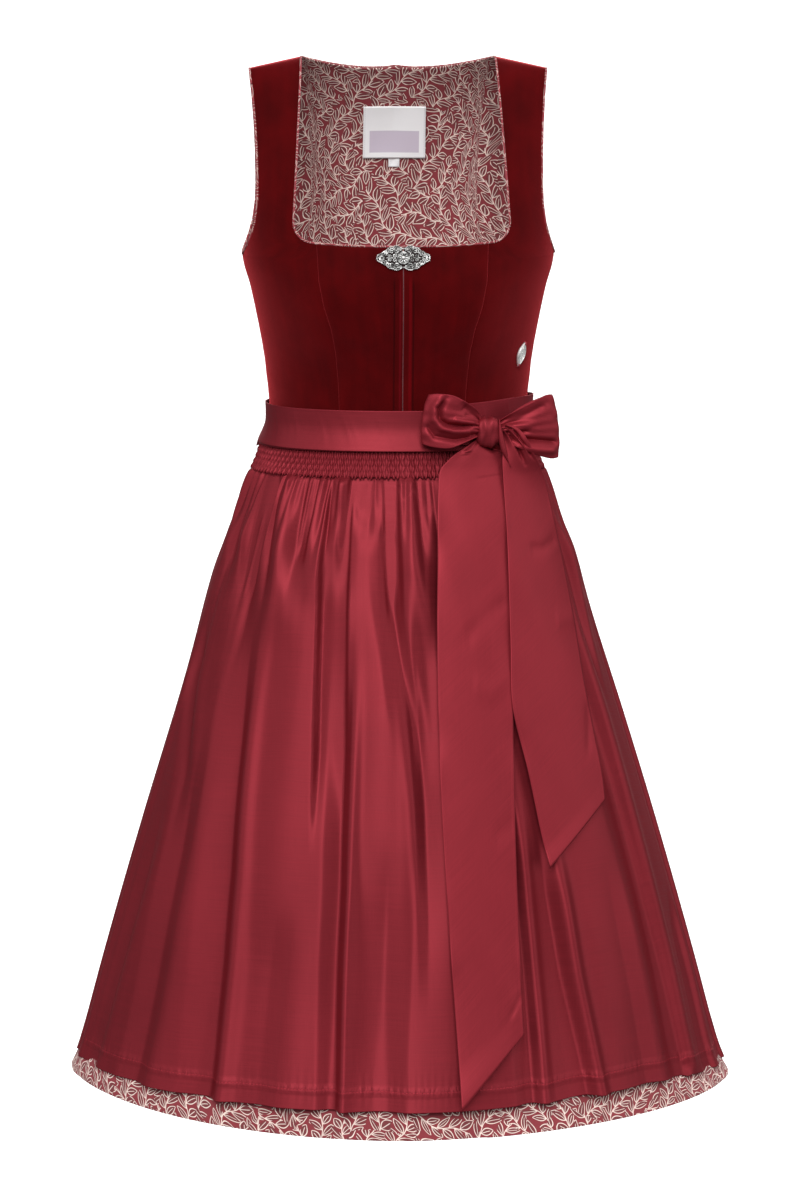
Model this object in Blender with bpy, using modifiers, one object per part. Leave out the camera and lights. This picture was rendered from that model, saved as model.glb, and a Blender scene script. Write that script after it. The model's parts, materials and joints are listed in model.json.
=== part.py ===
"""A dirndl with its apron tied on, hollow as if worn: velvet bodice, printed skirt, satin apron.

Metres, +Z up, front facing -Y. The origin lies midway between the neck ends of the two shoulder
seams, where a wearer's shoulders carry the dress. The wearer's left is +X.

Every piece of cloth is laid on one form: a stack of levels, each a rounded section with its own
half width and its own depth in front and behind. A place on the form is a height and an angle,
0 degrees at centre front, 90 at the wearer's left side seam, 180 at centre back.
"""
import math
from collections import namedtuple

import bmesh
import bpy
import numpy as np
from mathutils import Matrix, Vector

# Driving dimensions of a size 34 dirndl with a 65 cm skirt
NECK_HALF = 0.094
SHOULDER_HALF = 0.1418
SHOULDER_SLOPE = 0.22
SLOPE_FOOT = -0.20
SLOPE_TOP = -0.02
UNDERARM = -0.1885
WAIST_SEAM = -0.3525
LEVEL_FROM = -0.3225
SKIRT_HEM = -1.0015
APRON_HEM = -0.9740
APRON_SAG = 0.014
ZIP_SLIT = 0.0008
ZIP_DEPTH = 0.0012
ZIP_TAPE = 0.024
ZIP_TOP = -0.1855
SEAM_GAP = 0.0003
SEAM_SPACE = 0.0006
SIDE_SPACE = 0.0009
SIDE_SEAM = 0.25
VELVET_WALL = 0.0016
PRINT_WALL = 0.0012
SATIN_WALL = 0.0012
RIBBON_WALL = 0.0010
LINING_INSET = 0.0034
LINING_FOOT = -0.350
PIPING_RADIUS = 0.0011
PIPING_SPACE = 0.0004
FRONT_COLUMNS = 6
BACK_COLUMNS = 8
APRON_REACH = 100.0
SMOCK_TOP = -0.3758
SMOCK_MIDDLE = -0.3860
SMOCK_FOOT = -0.3965
SMOCK_PLEATS = 128
SMOCK_INSIDE = 0.0008
SMOCK_OUTSIDE = 0.0024
SMOCK_RIDGE = 0.0013
SMOCK_STAGGER = 0.0005
SMOCK_INSIDE_COLUMNS = 32
APRON_TOP = -0.3970
APRON_GATHERS = 28
SKIRT_GATHERS = 34
GATHER_HEAD = 0.0034
GATHERS_FROM = 70.0
GATHERS_FULL = 112.0
SKIRT_EASE = 0.0028
FOLD_DEPTH = 0.0105
FOLD_UNEVEN = 0.0030
FOLD_START = 0.38
FOLD_FULL = 0.95
SKIRT_FOLDS = 13
KNOT_ANGLE = 36.5
KNOT_HEIGHT = -0.3545
BOW_TURN = -0.22
BOW_STAND = 0.0022

# The form, from the shoulder line down to the hem. Power 1 is an ellipse, less is squarer.
Level = namedtuple("Level", "height half_width front_depth back_depth power")
FORM = (
    Level(0.0000, 0.1560, 0.0000, 0.0000, 0.88),
    Level(-0.0008, 0.1560, 0.0060, 0.0080, 0.88),
    Level(-0.0070, 0.1560, 0.0150, 0.0220, 0.88),
    Level(-0.0220, 0.1558, 0.0280, 0.0410, 0.88),
    Level(-0.0500, 0.1555, 0.0450, 0.0610, 0.88),
    Level(-0.0850, 0.1550, 0.0620, 0.0760, 0.88),
    Level(-0.1300, 0.1540, 0.0800, 0.0860, 0.88),
    Level(-0.1885, 0.1507, 0.0960, 0.0890, 0.88),
    Level(-0.2190, 0.1430, 0.0995, 0.0860, 0.88),
    Level(-0.2545, 0.1356, 0.0965, 0.0815, 0.88),
    Level(-0.2905, 0.1295, 0.0900, 0.0765, 0.88),
    Level(-0.3200, 0.1262, 0.0860, 0.0735, 0.88),
    Level(-0.3525, 0.1250, 0.0842, 0.0725, 0.89),
    Level(-0.3700, 0.1290, 0.0872, 0.0762, 0.90),
    Level(-0.3900, 0.1352, 0.0925, 0.0835, 0.92),
    Level(-0.4214, 0.1480, 0.1030, 0.0955, 0.94),
    Level(-0.4638, 0.1625, 0.1150, 0.1100, 0.96),
    Level(-0.5667, 0.1935, 0.1410, 0.1370, 1.00),
    Level(-0.7267, 0.2430, 0.1810, 0.1790, 1.03),
    Level(-0.8734, 0.2860, 0.2150, 0.2130, 1.09),
    Level(-0.9650, 0.3120, 0.2400, 0.2360, 1.13),
    Level(-1.0015, 0.3270, 0.2500, 0.2460, 1.15),
)
SAMPLES_PER_LEVEL = 24
NORMAL_ROWS = 0.05
NORMAL_DEGREES = 0.5

# Fine gathers: their depth at rest, how much deeper they are at a place below the seam, and where
# they run out, as distances down the skirt from the shoulder or as shares of the apron
Gathers = namedtuple("Gathers", "rest swell swell_at spread fade gone")
SKIRT_GATHER = Gathers(0.0012, 0.0040, 0.405, 0.035, 0.42, 0.55)
APRON_GATHER = Gathers(0.0022, 0.0028, 0.06, 0.05, 0.08, 0.26)
# Slow waves that set the folds unevenly round the skirt and apron
Wave = namedtuple("Wave", "size count start")
FOLD_DRIFT = (Wave(0.016, 3, 0.0), Wave(0.007, 7, 1.0))
APRON_DRIFT = (Wave(0.010, 3, 0.0), Wave(0.005, 7, 0.0))

# Half the distance between the two front seams, from the waist up to the neckline
SeamPoint = namedtuple("SeamPoint", "height half_width")
FRONT_SEAM = (
    SeamPoint(-0.3525, 0.0592),
    SeamPoint(-0.3080, 0.0612),
    SeamPoint(-0.2760, 0.0640),
    SeamPoint(-0.2540, 0.0685),
    SeamPoint(-0.2320, 0.0755),
    SeamPoint(-0.2080, 0.0800),
    SeamPoint(-0.1750, 0.0815),
)
# The curved back seam runs from the waist up into the armhole
BACK_SEAM = (
    SeamPoint(-0.3525, 0.0400),
    SeamPoint(-0.3000, 0.0440),
    SeamPoint(-0.2500, 0.0560),
    SeamPoint(-0.2000, 0.0800),
    SeamPoint(-0.1600, 0.1070),
    SeamPoint(-0.1180, 0.1352),
)
ARM_EDGE = (
    SeamPoint(-0.1885, 0.1507),
    SeamPoint(-0.1800, 0.1470),
    SeamPoint(-0.1700, 0.1430),
    SeamPoint(-0.1550, 0.1386),
    SeamPoint(-0.1350, 0.1358),
    SeamPoint(-0.1150, 0.1352),
    SeamPoint(-0.0850, 0.1356),
    SeamPoint(-0.0550, 0.1368),
    SeamPoint(-0.0250, 0.1390),
    SeamPoint(0.0000, 0.1418),
)
# The square neckline: a nearly level floor, round corners and sides that close towards the neck
NECK_FLOOR = -0.1775
NECK_FLOOR_RISE = 0.0035
NECK_CORNER = 0.020
NECK_CORNER_X = 0.0835
NECK_CORNER_Z = -0.1540
BACK_NECK_DROP = 0.030

# Bust cups shaped by the front seams
BUST = namedtuple("Bust", "half_width height depth spread rise")(0.070, -0.238, 0.010, 0.040, 0.045)

# Apron folds, viewed from outside: a negative depth is a trough, a positive one a ridge.
# Angles at the top and hem, depth, half width in degrees, and where the fold starts and ends
Fold = namedtuple("Fold", "top_angle hem_angle depth half_width start end")
APRON_FOLDS = (
    Fold(-92, -84, -0.0040, 6.0, -0.45, -1.00),
    Fold(-78, -58, -0.0035, 4.0, -0.50, -0.80),
    Fold(-62, -34, -0.0060, 4.0, -0.42, -1.02),
    Fold(-50, -48, 0.0030, 6.0, -0.45, -1.02),
    Fold(-44, -40, -0.0045, 3.0, -0.42, -0.70),
    Fold(-31, -22, 0.0035, 6.0, -0.44, -1.02),
    Fold(-21, -8, -0.0068, 4.2, -0.43, -1.02),
    Fold(-12, 0, 0.0030, 5.0, -0.43, -0.90),
    Fold(-3, 2, -0.0045, 2.6, -0.40, -0.72),
    Fold(5, 8, -0.0050, 3.0, -0.46, -0.95),
    Fold(16, 15, 0.0030, 7.0, -0.45, -1.02),
    Fold(27, 25, -0.0050, 3.5, -0.45, -1.02),
    Fold(34, 36, -0.0060, 4.5, -0.50, -1.02),
    Fold(48, 50, 0.0035, 7.0, -0.45, -1.02),
    Fold(62, 64, -0.0050, 4.5, -0.45, -0.92),
    Fold(72, 74, 0.0025, 5.0, -0.45, -1.02),
    Fold(84, 80, -0.0045, 5.0, -0.50, -1.02),
)
FOLD_BEND = 0.7
FOLD_FADE_IN = (-0.03, 0.06)
FOLD_FADE_OUT = (-0.12, 0.02)
APRON_PILE = 0.0070
PILE_HEM_LOSS = 0.5
PILE_SIDE_LOSS = 0.7
APRON_SIDES = (45.0, 80.0)
APRON_BACK_EASE = 0.0022
APRON_CLEARANCE = 0.0030

# Ribbons round the waist, from their first angle to their last
Strip = namedtuple("Strip", "top_start top_end width lift")
BAND = Strip(-0.3360, -0.3360, 0.0392, 0.0020)
FIRST_TIE = Strip(-0.3285, -0.3325, 0.0380, 0.0036)
SECOND_TIE = Strip(-0.3275, -0.3375, 0.0390, 0.0058)
TIE_START = 2.0
TIE_STOP = 9.0

# Bow loops as sections of the ribbon, from the knot out along the front and back behind.
# Out is along the bow, lift is away from the waistband, rise is up, and spread is the half width
Ribbon = namedtuple("Ribbon", "out lift rise spread")
RIGHT_LOOP = (
    Ribbon(0.0125, 0.0150, 0.0030, 0.0090),
    Ribbon(0.0270, 0.0230, 0.0060, 0.0165),
    Ribbon(0.0440, 0.0250, 0.0080, 0.0235),
    Ribbon(0.0590, 0.0215, 0.0090, 0.0270),
    Ribbon(0.0660, 0.0150, 0.0090, 0.0275),
    Ribbon(0.0620, 0.0090, 0.0080, 0.0270),
    Ribbon(0.0460, 0.0085, 0.0060, 0.0240),
    Ribbon(0.0290, 0.0090, 0.0040, 0.0165),
    Ribbon(0.0125, 0.0100, 0.0020, 0.0090),
)
LEFT_LOOP = (
    Ribbon(0.0125, 0.0150, 0.0010, 0.0090),
    Ribbon(0.0260, 0.0215, 0.0010, 0.0170),
    Ribbon(0.0420, 0.0230, 0.0015, 0.0255),
    Ribbon(0.0570, 0.0195, 0.0020, 0.0310),
    Ribbon(0.0650, 0.0140, 0.0020, 0.0310),
    Ribbon(0.0590, 0.0085, 0.0020, 0.0300),
    Ribbon(0.0430, 0.0085, 0.0020, 0.0240),
    Ribbon(0.0270, 0.0090, 0.0010, 0.0165),
    Ribbon(0.0125, 0.0100, 0.0000, 0.0090),
)
# Ribbon tails: the two edges as they run down the apron, to an end cut on the slant
Tail = namedtuple("Tail", "right_x right_z left_x left_z")
LONG_TAIL = (
    Tail(0.0741, -0.3720, 0.0941, -0.3720),
    Tail(0.0509, -0.3860, 0.0970, -0.3860),
    Tail(0.0344, -0.4070, 0.0977, -0.4030),
    Tail(0.0297, -0.4520, 0.0990, -0.4420),
    Tail(0.0290, -0.5320, 0.1009, -0.5220),
    Tail(0.0291, -0.6320, 0.1011, -0.6170),
    Tail(0.0323, -0.7320, 0.1013, -0.7120),
    Tail(0.0380, -0.8320, 0.1032, -0.8020),
    Tail(0.0431, -0.9120, 0.1054, -0.8720),
    Tail(0.0463, -0.9700, 0.1069, -0.9070),
)
SHORT_TAIL = (
    Tail(0.0880, -0.3718, 0.1040, -0.3700),
    Tail(0.0979, -0.3886, 0.1273, -0.3846),
    Tail(0.0992, -0.4257, 0.1422, -0.4207),
    Tail(0.1013, -0.4814, 0.1526, -0.4714),
    Tail(0.1034, -0.5463, 0.1650, -0.5313),
    Tail(0.1040, -0.6067, 0.1741, -0.5917),
    Tail(0.1148, -0.6670, 0.1836, -0.6420),
    Tail(0.1272, -0.7273, 0.1901, -0.6773),
    Tail(0.1350, -0.7570, 0.1927, -0.7030),
)
TAIL_SETTLES = (0.36, 0.46)
LONG_TAIL_LIFT = 0.0190
SHORT_TAIL_LIFT = 0.0165
LONG_ROOT_LIFT = 0.0150
SHORT_ROOT_LIFT = 0.0134

# Clasp outline for one half, from the middle to its tip, as distances from the clasp's centre
Outline = namedtuple("Outline", "across up")
CLASP_EDGE = (
    Outline(0.0004, 0.0088),
    Outline(0.0045, 0.0112),
    Outline(0.0080, 0.0118),
    Outline(0.0120, 0.0100),
    Outline(0.0150, 0.0100),
    Outline(0.0175, 0.0070),
    Outline(0.0205, 0.0060),
    Outline(0.0230, 0.0038),
    Outline(0.0262, 0.0034),
    Outline(0.0275, 0.0000),
)
CLASP_HOLES = (
    Outline(0.0105, 0.0075),
    Outline(0.0105, 0.0035),
    Outline(0.0145, 0.0060),
    Outline(0.0160, 0.0022),
    Outline(0.0200, 0.0025),
)
CLASP_HOLE_RADIUS = 0.0010
CLASP_PLATE = 0.0014
CLASP_HEIGHT = -0.1870
CLASP_LIFT = 0.0032
TAG_LENGTH = 0.0235
TAG_WIDTH = 0.0125
TAG_PLATE = 0.0012
TAG_HEIGHT = -0.2815
TAG_ANGLE = 59.5
TAG_TILT = 14.0
LABEL_WIDTH = 0.061
LABEL_DEPTH = 0.052
LABEL_TOP = -0.0490
SIZE_TAB_WIDTH = 0.011
SIZE_TAB_DEPTH = 0.009
LABEL_WALL = 0.0010
LABEL_SPACE = 0.0010

VELVET = ("wine_velvet", (0.110, 0.004, 0.010), 0.85, 0.0)
SATIN = ("wine_satin", (0.330, 0.036, 0.055), 0.38, 0.0)
PRINT = ("leaf_print_cotton", (0.300, 0.110, 0.105), 0.80, 0.0)
SILVER = ("antique_silver", (0.560, 0.560, 0.540), 0.32, 1.0)
LABEL = ("woven_label", (0.860, 0.850, 0.860), 0.70, 0.0)
ZIP = ("zip_tape", (0.180, 0.020, 0.030), 0.75, 0.0)


def smooth_levels(rows):
    """The form's levels as many fine rows, on a smooth curve through the table's own rows."""
    table = np.array(rows)
    padded = np.vstack([2 * table[0] - table[1], table, 2 * table[-1] - table[-2]])
    fine = []
    for i in range(len(table) - 1):
        before, start, end, after = padded[i : i + 4]
        for step in range(SAMPLES_PER_LEVEL):
            s = step / SAMPLES_PER_LEVEL
            fine.append(
                0.5
                * (
                    2 * start
                    + (end - before) * s
                    + (2 * before - 5 * start + 4 * end - after) * s**2
                    + (3 * start - before - 3 * end + after) * s**3
                )
            )
    fine.append(table[-1])
    return np.array(fine)


FINE_FORM = smooth_levels(FORM)
FINE_ROWS = np.arange(len(FINE_FORM)) / SAMPLES_PER_LEVEL


def row_at(height):
    """The place in the form's table of this height, counted in levels from the shoulder."""
    return float(np.interp(-height, -FINE_FORM[:, 0], FINE_ROWS))


def level_at(row):
    return Level(*(float(np.interp(row, FINE_ROWS, FINE_FORM[:, k])) for k in range(5)))


def smooth_step(value, start, end):
    share = min(1.0, max(0.0, (value - start) / (end - start)))
    return share * share * (3 - 2 * share)


def signed_power(value, power):
    return math.copysign(abs(value) ** power, value)


def bump(value, centre, spread):
    return math.exp(-(((value - centre) / spread) ** 2))


def form_point(row, angle):
    """The form's own surface: a rounded section at this row, with the bust and the sloping shoulders."""
    level = level_at(row)
    turn = math.radians(angle)
    x = level.half_width * signed_power(math.sin(turn), level.power)
    if math.cos(turn) >= 0:
        cup = bump(abs(x), BUST.half_width, BUST.spread) * bump(level.height, BUST.height, BUST.rise)
        y = -(level.front_depth + BUST.depth * cup) * signed_power(math.cos(turn), level.power)
    else:
        y = -level.back_depth * signed_power(math.cos(turn), level.power)
    slope_share = smooth_step(level.height, SLOPE_FOOT, SLOPE_TOP)
    return Vector((x, y, level.height + SHOULDER_SLOPE * (NECK_HALF - abs(x)) * slope_share))


def form_normal(row, angle):
    """Away from the wearer, square to the form."""
    up = form_point(max(0.0, row - NORMAL_ROWS), angle) - form_point(row + NORMAL_ROWS, angle)
    along = form_point(row, angle + NORMAL_DEGREES) - form_point(row, angle - NORMAL_DEGREES)
    return along.cross(up).normalized()


def level_normal(row, angle):
    """Away from the wearer, without the part that points up or down."""
    normal = form_normal(row, angle)
    normal.z = 0
    return normal.normalized()


def on_form(height, angle, lift=0.0):
    """A point off the form: square to it on the bodice, level from the waist down."""
    row = row_at(height)
    away = form_normal if height > LEVEL_FROM else level_normal
    return form_point(row, angle) + away(row, angle) * lift


def angle_at(height, x, behind=False):
    """The angle at which the section of this height has this x."""
    level = level_at(row_at(height))
    share = min(1.0, abs(x) / level.half_width)
    angle = math.degrees(math.asin(share ** (1 / level.power)))
    return math.copysign(180 - angle if behind else angle, x)


def level_for(z, x):
    """The form's level whose surface has this true height at this distance from the middle."""
    height = z
    for _ in range(4):
        height = z - SHOULDER_SLOPE * (NECK_HALF - abs(x)) * smooth_step(height, SLOPE_FOOT, SLOPE_TOP)
    return height


def edge_at(table, height):
    points = sorted(table)
    return float(np.interp(height, [p.height for p in points], [p.half_width for p in points]))


def arm_edge(height):
    """Half the distance between the armholes, or the side seam below them."""
    if height <= UNDERARM:
        return level_at(row_at(height)).half_width
    return edge_at(ARM_EDGE, height)


def neck_floor(x):
    """Height of the neckline's lower edge at this distance from the middle."""
    over = abs(x) - NECK_CORNER_X
    if over <= 0:
        return NECK_FLOOR + NECK_FLOOR_RISE * (x / NECK_CORNER_X) ** 2
    return NECK_CORNER_Z - math.sqrt(max(0.0, NECK_CORNER**2 - over**2))


def neck_side(height):
    """Half the width of the neckline at this height."""
    if height >= NECK_CORNER_Z:
        corner = NECK_CORNER_X + NECK_CORNER
        return corner + (NECK_HALF - corner) * (1 - height / NECK_CORNER_Z)
    drop = min(NECK_CORNER, NECK_CORNER_Z - height)
    return NECK_CORNER_X + math.sqrt(NECK_CORNER**2 - drop**2)


def back_neck(x):
    """Height on the form of the back neckline at this distance from the middle."""
    return -BACK_NECK_DROP * max(0.0, 1 - (x / NECK_HALF) ** 2)


def material(name, colour, roughness, metallic):
    made = bpy.data.materials.get(name)
    if made is None:
        made = bpy.data.materials.new(name)
        made.use_nodes = True
        shader = made.node_tree.nodes["Principled BSDF"]
        shader.inputs["Base Color"].default_value = (*colour, 1.0)
        shader.inputs["Roughness"].default_value = roughness
        shader.inputs["Metallic"].default_value = metallic
    return made


def keep(name, data, finish):
    piece = bpy.data.objects.new(name, data)
    bpy.data.collections["dirndl"].objects.link(piece)
    data.materials.append(material(*finish))
    return piece


def bent_grid(surface, columns, rows):
    """A flat grid whose points are moved to surface(u, v), with u and v from 0 to 1."""
    mesh = bpy.data.meshes.new("cloth")
    bm = bmesh.new()
    bmesh.ops.create_grid(bm, x_segments=columns, y_segments=rows, size=1.0)
    for vertex in bm.verts:
        vertex.co = surface((vertex.co.x + 1) / 2, (vertex.co.y + 1) / 2)
    bm.to_mesh(mesh)
    bm.free()
    return mesh


def cloth(name, surface, columns, rows, wall, finish, mirror=False):
    """A wall of cloth. surface gives its outer face, with u anticlockwise seen from above."""
    mesh = bent_grid(surface, columns, rows)
    mesh.shade_smooth()
    piece = keep(name, mesh, finish)
    if mirror:
        half = piece.modifiers.new("Mirror", "MIRROR")
        half.merge_threshold = 0.0001
    shell = piece.modifiers.new("Solidify", "SOLIDIFY")
    shell.thickness = wall
    shell.offset = -1.0
    return piece


def sided(surface, side):
    """The surface for the wearer's left, or its mirror image for the right."""
    if side > 0:
        return surface

    def other(u, v):
        point = surface(1 - u, v)
        return Vector((-point.x, point.y, point.z))

    return other


def between(start, end, share):
    return start + (end - start) * share


def from_rows(rows, v):
    """The height at v when the rows of a grid stand at these heights."""
    return float(np.interp(v * (len(rows) - 1), range(len(rows)), rows))


BODICE_ROWS = (WAIST_SEAM, -0.322, -0.292, -0.262, -0.232, -0.204)
NECK_ROWS = (-0.1710, -0.1660, -0.1600, -0.1510, -0.1200, -0.0850, -0.0500, -0.0220, -0.0060)
SHOULDER_EDGE = -0.00012
BACK_ARM_ROWS = (UNDERARM, -0.176, -0.162, -0.146, -0.132)
BACK_TOP_ROWS = (-0.105, -0.078, -0.052, -0.030, -0.014, -0.005, -0.0015, SHOULDER_EDGE)
BACK_HEIGHTS = (*BODICE_ROWS, *BACK_ARM_ROWS, *BACK_TOP_ROWS)
BACK_ROWS = len(BACK_HEIGHTS) - 1


def front_centre(side):
    def surface(u, v):
        top = neck_floor(FRONT_SEAM[-1].half_width * u)
        height = between(WAIST_SEAM, top, v)
        seam = edge_at(FRONT_SEAM, height) - SEAM_SPACE / 2
        return on_form(height, angle_at(height, between(ZIP_SLIT, seam, u)))

    return sided(surface, side)


def front_side(side):
    seam_top = neck_floor(FRONT_SEAM[-1].half_width)
    rows = (*BODICE_ROWS, UNDERARM, seam_top, *NECK_ROWS, SHOULDER_EDGE)

    def surface(u, v):
        height = from_rows(rows, v)
        inner = edge_at(FRONT_SEAM, height) + SEAM_SPACE / 2
        if height > seam_top + 1e-6:
            inner = neck_side(height)
        start = angle_at(height, inner)
        end = min(angle_at(height, arm_edge(height)), 90 - side_gap(height))
        return on_form(height, between(start, end, u))

    return sided(surface, side), len(rows) - 1


def side_gap(height):
    """Half a seam's gap at the side, in degrees of the form."""
    level = level_at(row_at(height))
    space = SIDE_SPACE * (1 + 1.5 * bump(height, UNDERARM, 0.008))
    return math.degrees(math.asin((space / level.front_depth) ** (1 / level.power)))


def back_side(side):
    rows = (*BODICE_ROWS, *BACK_ARM_ROWS)

    def surface(u, v):
        height = from_rows(rows, v)
        start = max(angle_at(height, arm_edge(height), True), 90 + side_gap(height))
        end = angle_at(height, edge_at(BACK_SEAM, height) + SEAM_SPACE / 2, True)
        return on_form(height, between(start, end, u))

    return sided(surface, side), len(rows) - 1


def back_panel(outer, foot, lift):
    """A half of the back, from its outer edge in to centre back, up to the neckline and shoulder."""
    inner_columns = 5 / BACK_COLUMNS
    edge_rows = [row_at(height) for height in (foot, *BACK_HEIGHTS[1:])]

    def surface(u, v):
        across = 1 - u
        if across < inner_columns:
            top_x = NECK_HALF * across / inner_columns
            top = min(SHOULDER_EDGE, back_neck(top_x))
        else:
            top_x = between(NECK_HALF, SHOULDER_HALF, (across - inner_columns) / (1 - inner_columns))
            top = SHOULDER_EDGE
        down = (from_rows(edge_rows, v) - edge_rows[0]) / (edge_rows[-1] - edge_rows[0])
        row = between(edge_rows[0], row_at(top), down)
        height = level_at(row).height
        share = between(across, top_x / SHOULDER_HALF, smooth_step(v, 0.45, 1.0))
        angle = angle_at(height, outer(height) * share, True)
        return form_point(row, angle) + form_normal(row, angle) * lift

    return surface


def back_centre_edge(height):
    if height < BACK_SEAM[-1].height:
        return edge_at(BACK_SEAM, height) - SEAM_SPACE / 2
    return arm_edge(height)


def make_bodice():
    for side, name in ((1, "left"), (-1, "right")):
        cloth(f"bodice_front_centre_{name}", front_centre(side), FRONT_COLUMNS, 8, VELVET_WALL, VELVET)
        surface, rows = front_side(side)
        cloth(f"bodice_front_side_{name}", surface, 6, rows, VELVET_WALL, VELVET)
        surface, rows = back_side(side)
        cloth(f"bodice_back_side_{name}", surface, 5, rows, VELVET_WALL, VELVET)
    back = back_panel(back_centre_edge, WAIST_SEAM, 0.0)
    cloth("bodice_back_centre", back, BACK_COLUMNS, BACK_ROWS, VELVET_WALL, VELVET, mirror=True)
    lining = back_panel(lambda h: arm_edge(h) - LINING_INSET, LINING_FOOT, -LINING_INSET)
    cloth("bodice_back_lining", lining, BACK_COLUMNS, BACK_ROWS, PRINT_WALL, PRINT, mirror=True)

    def zip_tape(u, v):
        height = between(WAIST_SEAM, ZIP_TOP, v)
        x = between(-ZIP_TAPE / 2, ZIP_TAPE / 2, u)
        return on_form(height, angle_at(height, x), -VELVET_WALL - ZIP_DEPTH)

    cloth("bodice_front_zip", zip_tape, 4, 7, PRINT_WALL, ZIP)


def back_share(angle):
    """How far round to the back an angle is: 0 over the front, 1 behind."""
    turned = abs(angle) % 360
    return smooth_step(min(turned, 360 - turned), GATHERS_FROM, GATHERS_FULL)


def gather_depth(gathers, down):
    """Depth of the fine gathers at this distance down, deepest just below the seam, then run out."""
    depth = gathers.rest + gathers.swell * bump(down, gathers.swell_at, gathers.spread)
    return depth * (1 - smooth_step(down, gathers.fade, gathers.gone))


def skirt_wave(angle, height):
    """How far the skirt's cloth stands in or out of the form: fine gathers below the waist seam
    that open into broad folds towards the hem, behind and at the sides."""
    turns = (angle % 360) / 180
    fine = 0.5 + 0.5 * math.cos(2 * math.pi * SKIRT_GATHERS * turns)
    drift = sum(wave.size * math.sin(2 * math.pi * wave.count * turns + wave.start) for wave in FOLD_DRIFT)
    broad = math.cos(2 * math.pi * SKIRT_FOLDS * (turns + drift))
    depth = FOLD_DEPTH + FOLD_UNEVEN * math.sin(5 * math.pi * turns)
    depth *= smooth_step(-height, FOLD_START, FOLD_FULL)
    fine_depth = gather_depth(SKIRT_GATHER, -height)
    return back_share(angle) * (fine_depth * fine + depth * broad) - SKIRT_EASE


SKIRT_TOP = WAIST_SEAM - 0.0005
SKIRT_ROWS = (SKIRT_HEM, -0.850, -0.700, -0.570, -0.480, -0.430, -0.400, -0.375, SKIRT_TOP)


def skirt_part(start, end):
    def surface(u, v):
        height = from_rows(SKIRT_ROWS, v)
        angle = between(start, end, u)
        return on_form(height, angle, skirt_wave(angle, height))

    return surface


def make_skirt():
    rows = len(SKIRT_ROWS) - 1
    front = skirt_part(-90 + SIDE_SEAM, 90 - SIDE_SEAM)
    cloth("skirt_front", front, 26, rows, PRINT_WALL, PRINT)
    back = skirt_part(90 + SIDE_SEAM, 270 - SIDE_SEAM)
    cloth("skirt_back", back, 2 * SKIRT_GATHERS, rows, PRINT_WALL, PRINT)


def fold_line(fold, height):
    """Where a fold's line runs at this height, and how much of its depth it has there."""
    share = (height - APRON_TOP) / (APRON_HEM - APRON_TOP)
    angle = between(fold.top_angle, fold.hem_angle, share**FOLD_BEND)
    fade = smooth_step(-height, FOLD_FADE_IN[0] - fold.start, FOLD_FADE_IN[1] - fold.start)
    fade *= 1 - smooth_step(-height, FOLD_FADE_OUT[0] - fold.end, FOLD_FADE_OUT[1] - fold.end)
    return angle, fade


def apron_pile(u, angle, height):
    """How far the apron stands off the skirt: gathers under the smocking, then the long folds."""
    share = (height - APRON_TOP) / (APRON_HEM - APRON_TOP)
    pile = APRON_PILE * smooth_step(share, 0.0, APRON_GATHER.gone)
    pile *= 1 - PILE_HEM_LOSS * smooth_step(share, 0.70, 1.0)
    pile *= 1 - PILE_SIDE_LOSS * smooth_step(abs(angle), *APRON_SIDES)
    for fold in APRON_FOLDS:
        line, fade = fold_line(fold, height)
        pile += fade * fold.depth * bump(angle, line, fold.half_width)
    gather = 0.5 + 0.5 * math.cos(2 * math.pi * APRON_GATHERS * u)
    return max(0.0, pile) + gather_depth(APRON_GATHER, share) * gather


APRON_ROWS = (APRON_HEM, -0.850, -0.720, -0.610, -0.530, -0.475, -0.440, -0.415, APRON_TOP)


def apron_surface(u, v):
    drift = sum(wave.size * math.sin(2 * math.pi * wave.count * u + wave.start) for wave in APRON_DRIFT)
    angle = between(-APRON_REACH, APRON_REACH, u + drift)
    height = from_rows(APRON_ROWS, v) - APRON_SAG * smooth_step(angle, *APRON_SIDES) * (1 - v) ** 3
    skirt = max(-SKIRT_EASE, skirt_wave(angle, height)) + APRON_BACK_EASE * back_share(angle)
    return on_form(height, angle, skirt + SATIN_WALL + APRON_CLEARANCE + apron_pile(u, angle, height))


def waist_lift(angle):
    """How far the skirt's gathers push out what lies on them, at the back and sides."""
    return GATHER_HEAD * back_share(angle)


def smock_line(bm, height, lifts):
    """A row of points round the smocking at this height, spaced evenly, each with its own lift."""
    line = []
    for i, lift in enumerate(lifts):
        angle = between(-APRON_REACH, APRON_REACH, i / (len(lifts) - 1))
        point = on_form(height, angle, waist_lift(angle) + lift)
        line.append(bm.verts.new((point.x, point.y, height)))
    return line


def smock_ridges(row):
    """Lifts of the outer face: every other point is a pleat, and taller ones alternate by row."""
    lifts = []
    for i in range(2 * SMOCK_PLEATS + 1):
        taller = SMOCK_STAGGER * (-1) ** (i // 2 + row)
        lifts.append(SMOCK_OUTSIDE + (SMOCK_RIDGE + taller) * (i % 2))
    return lifts


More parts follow.
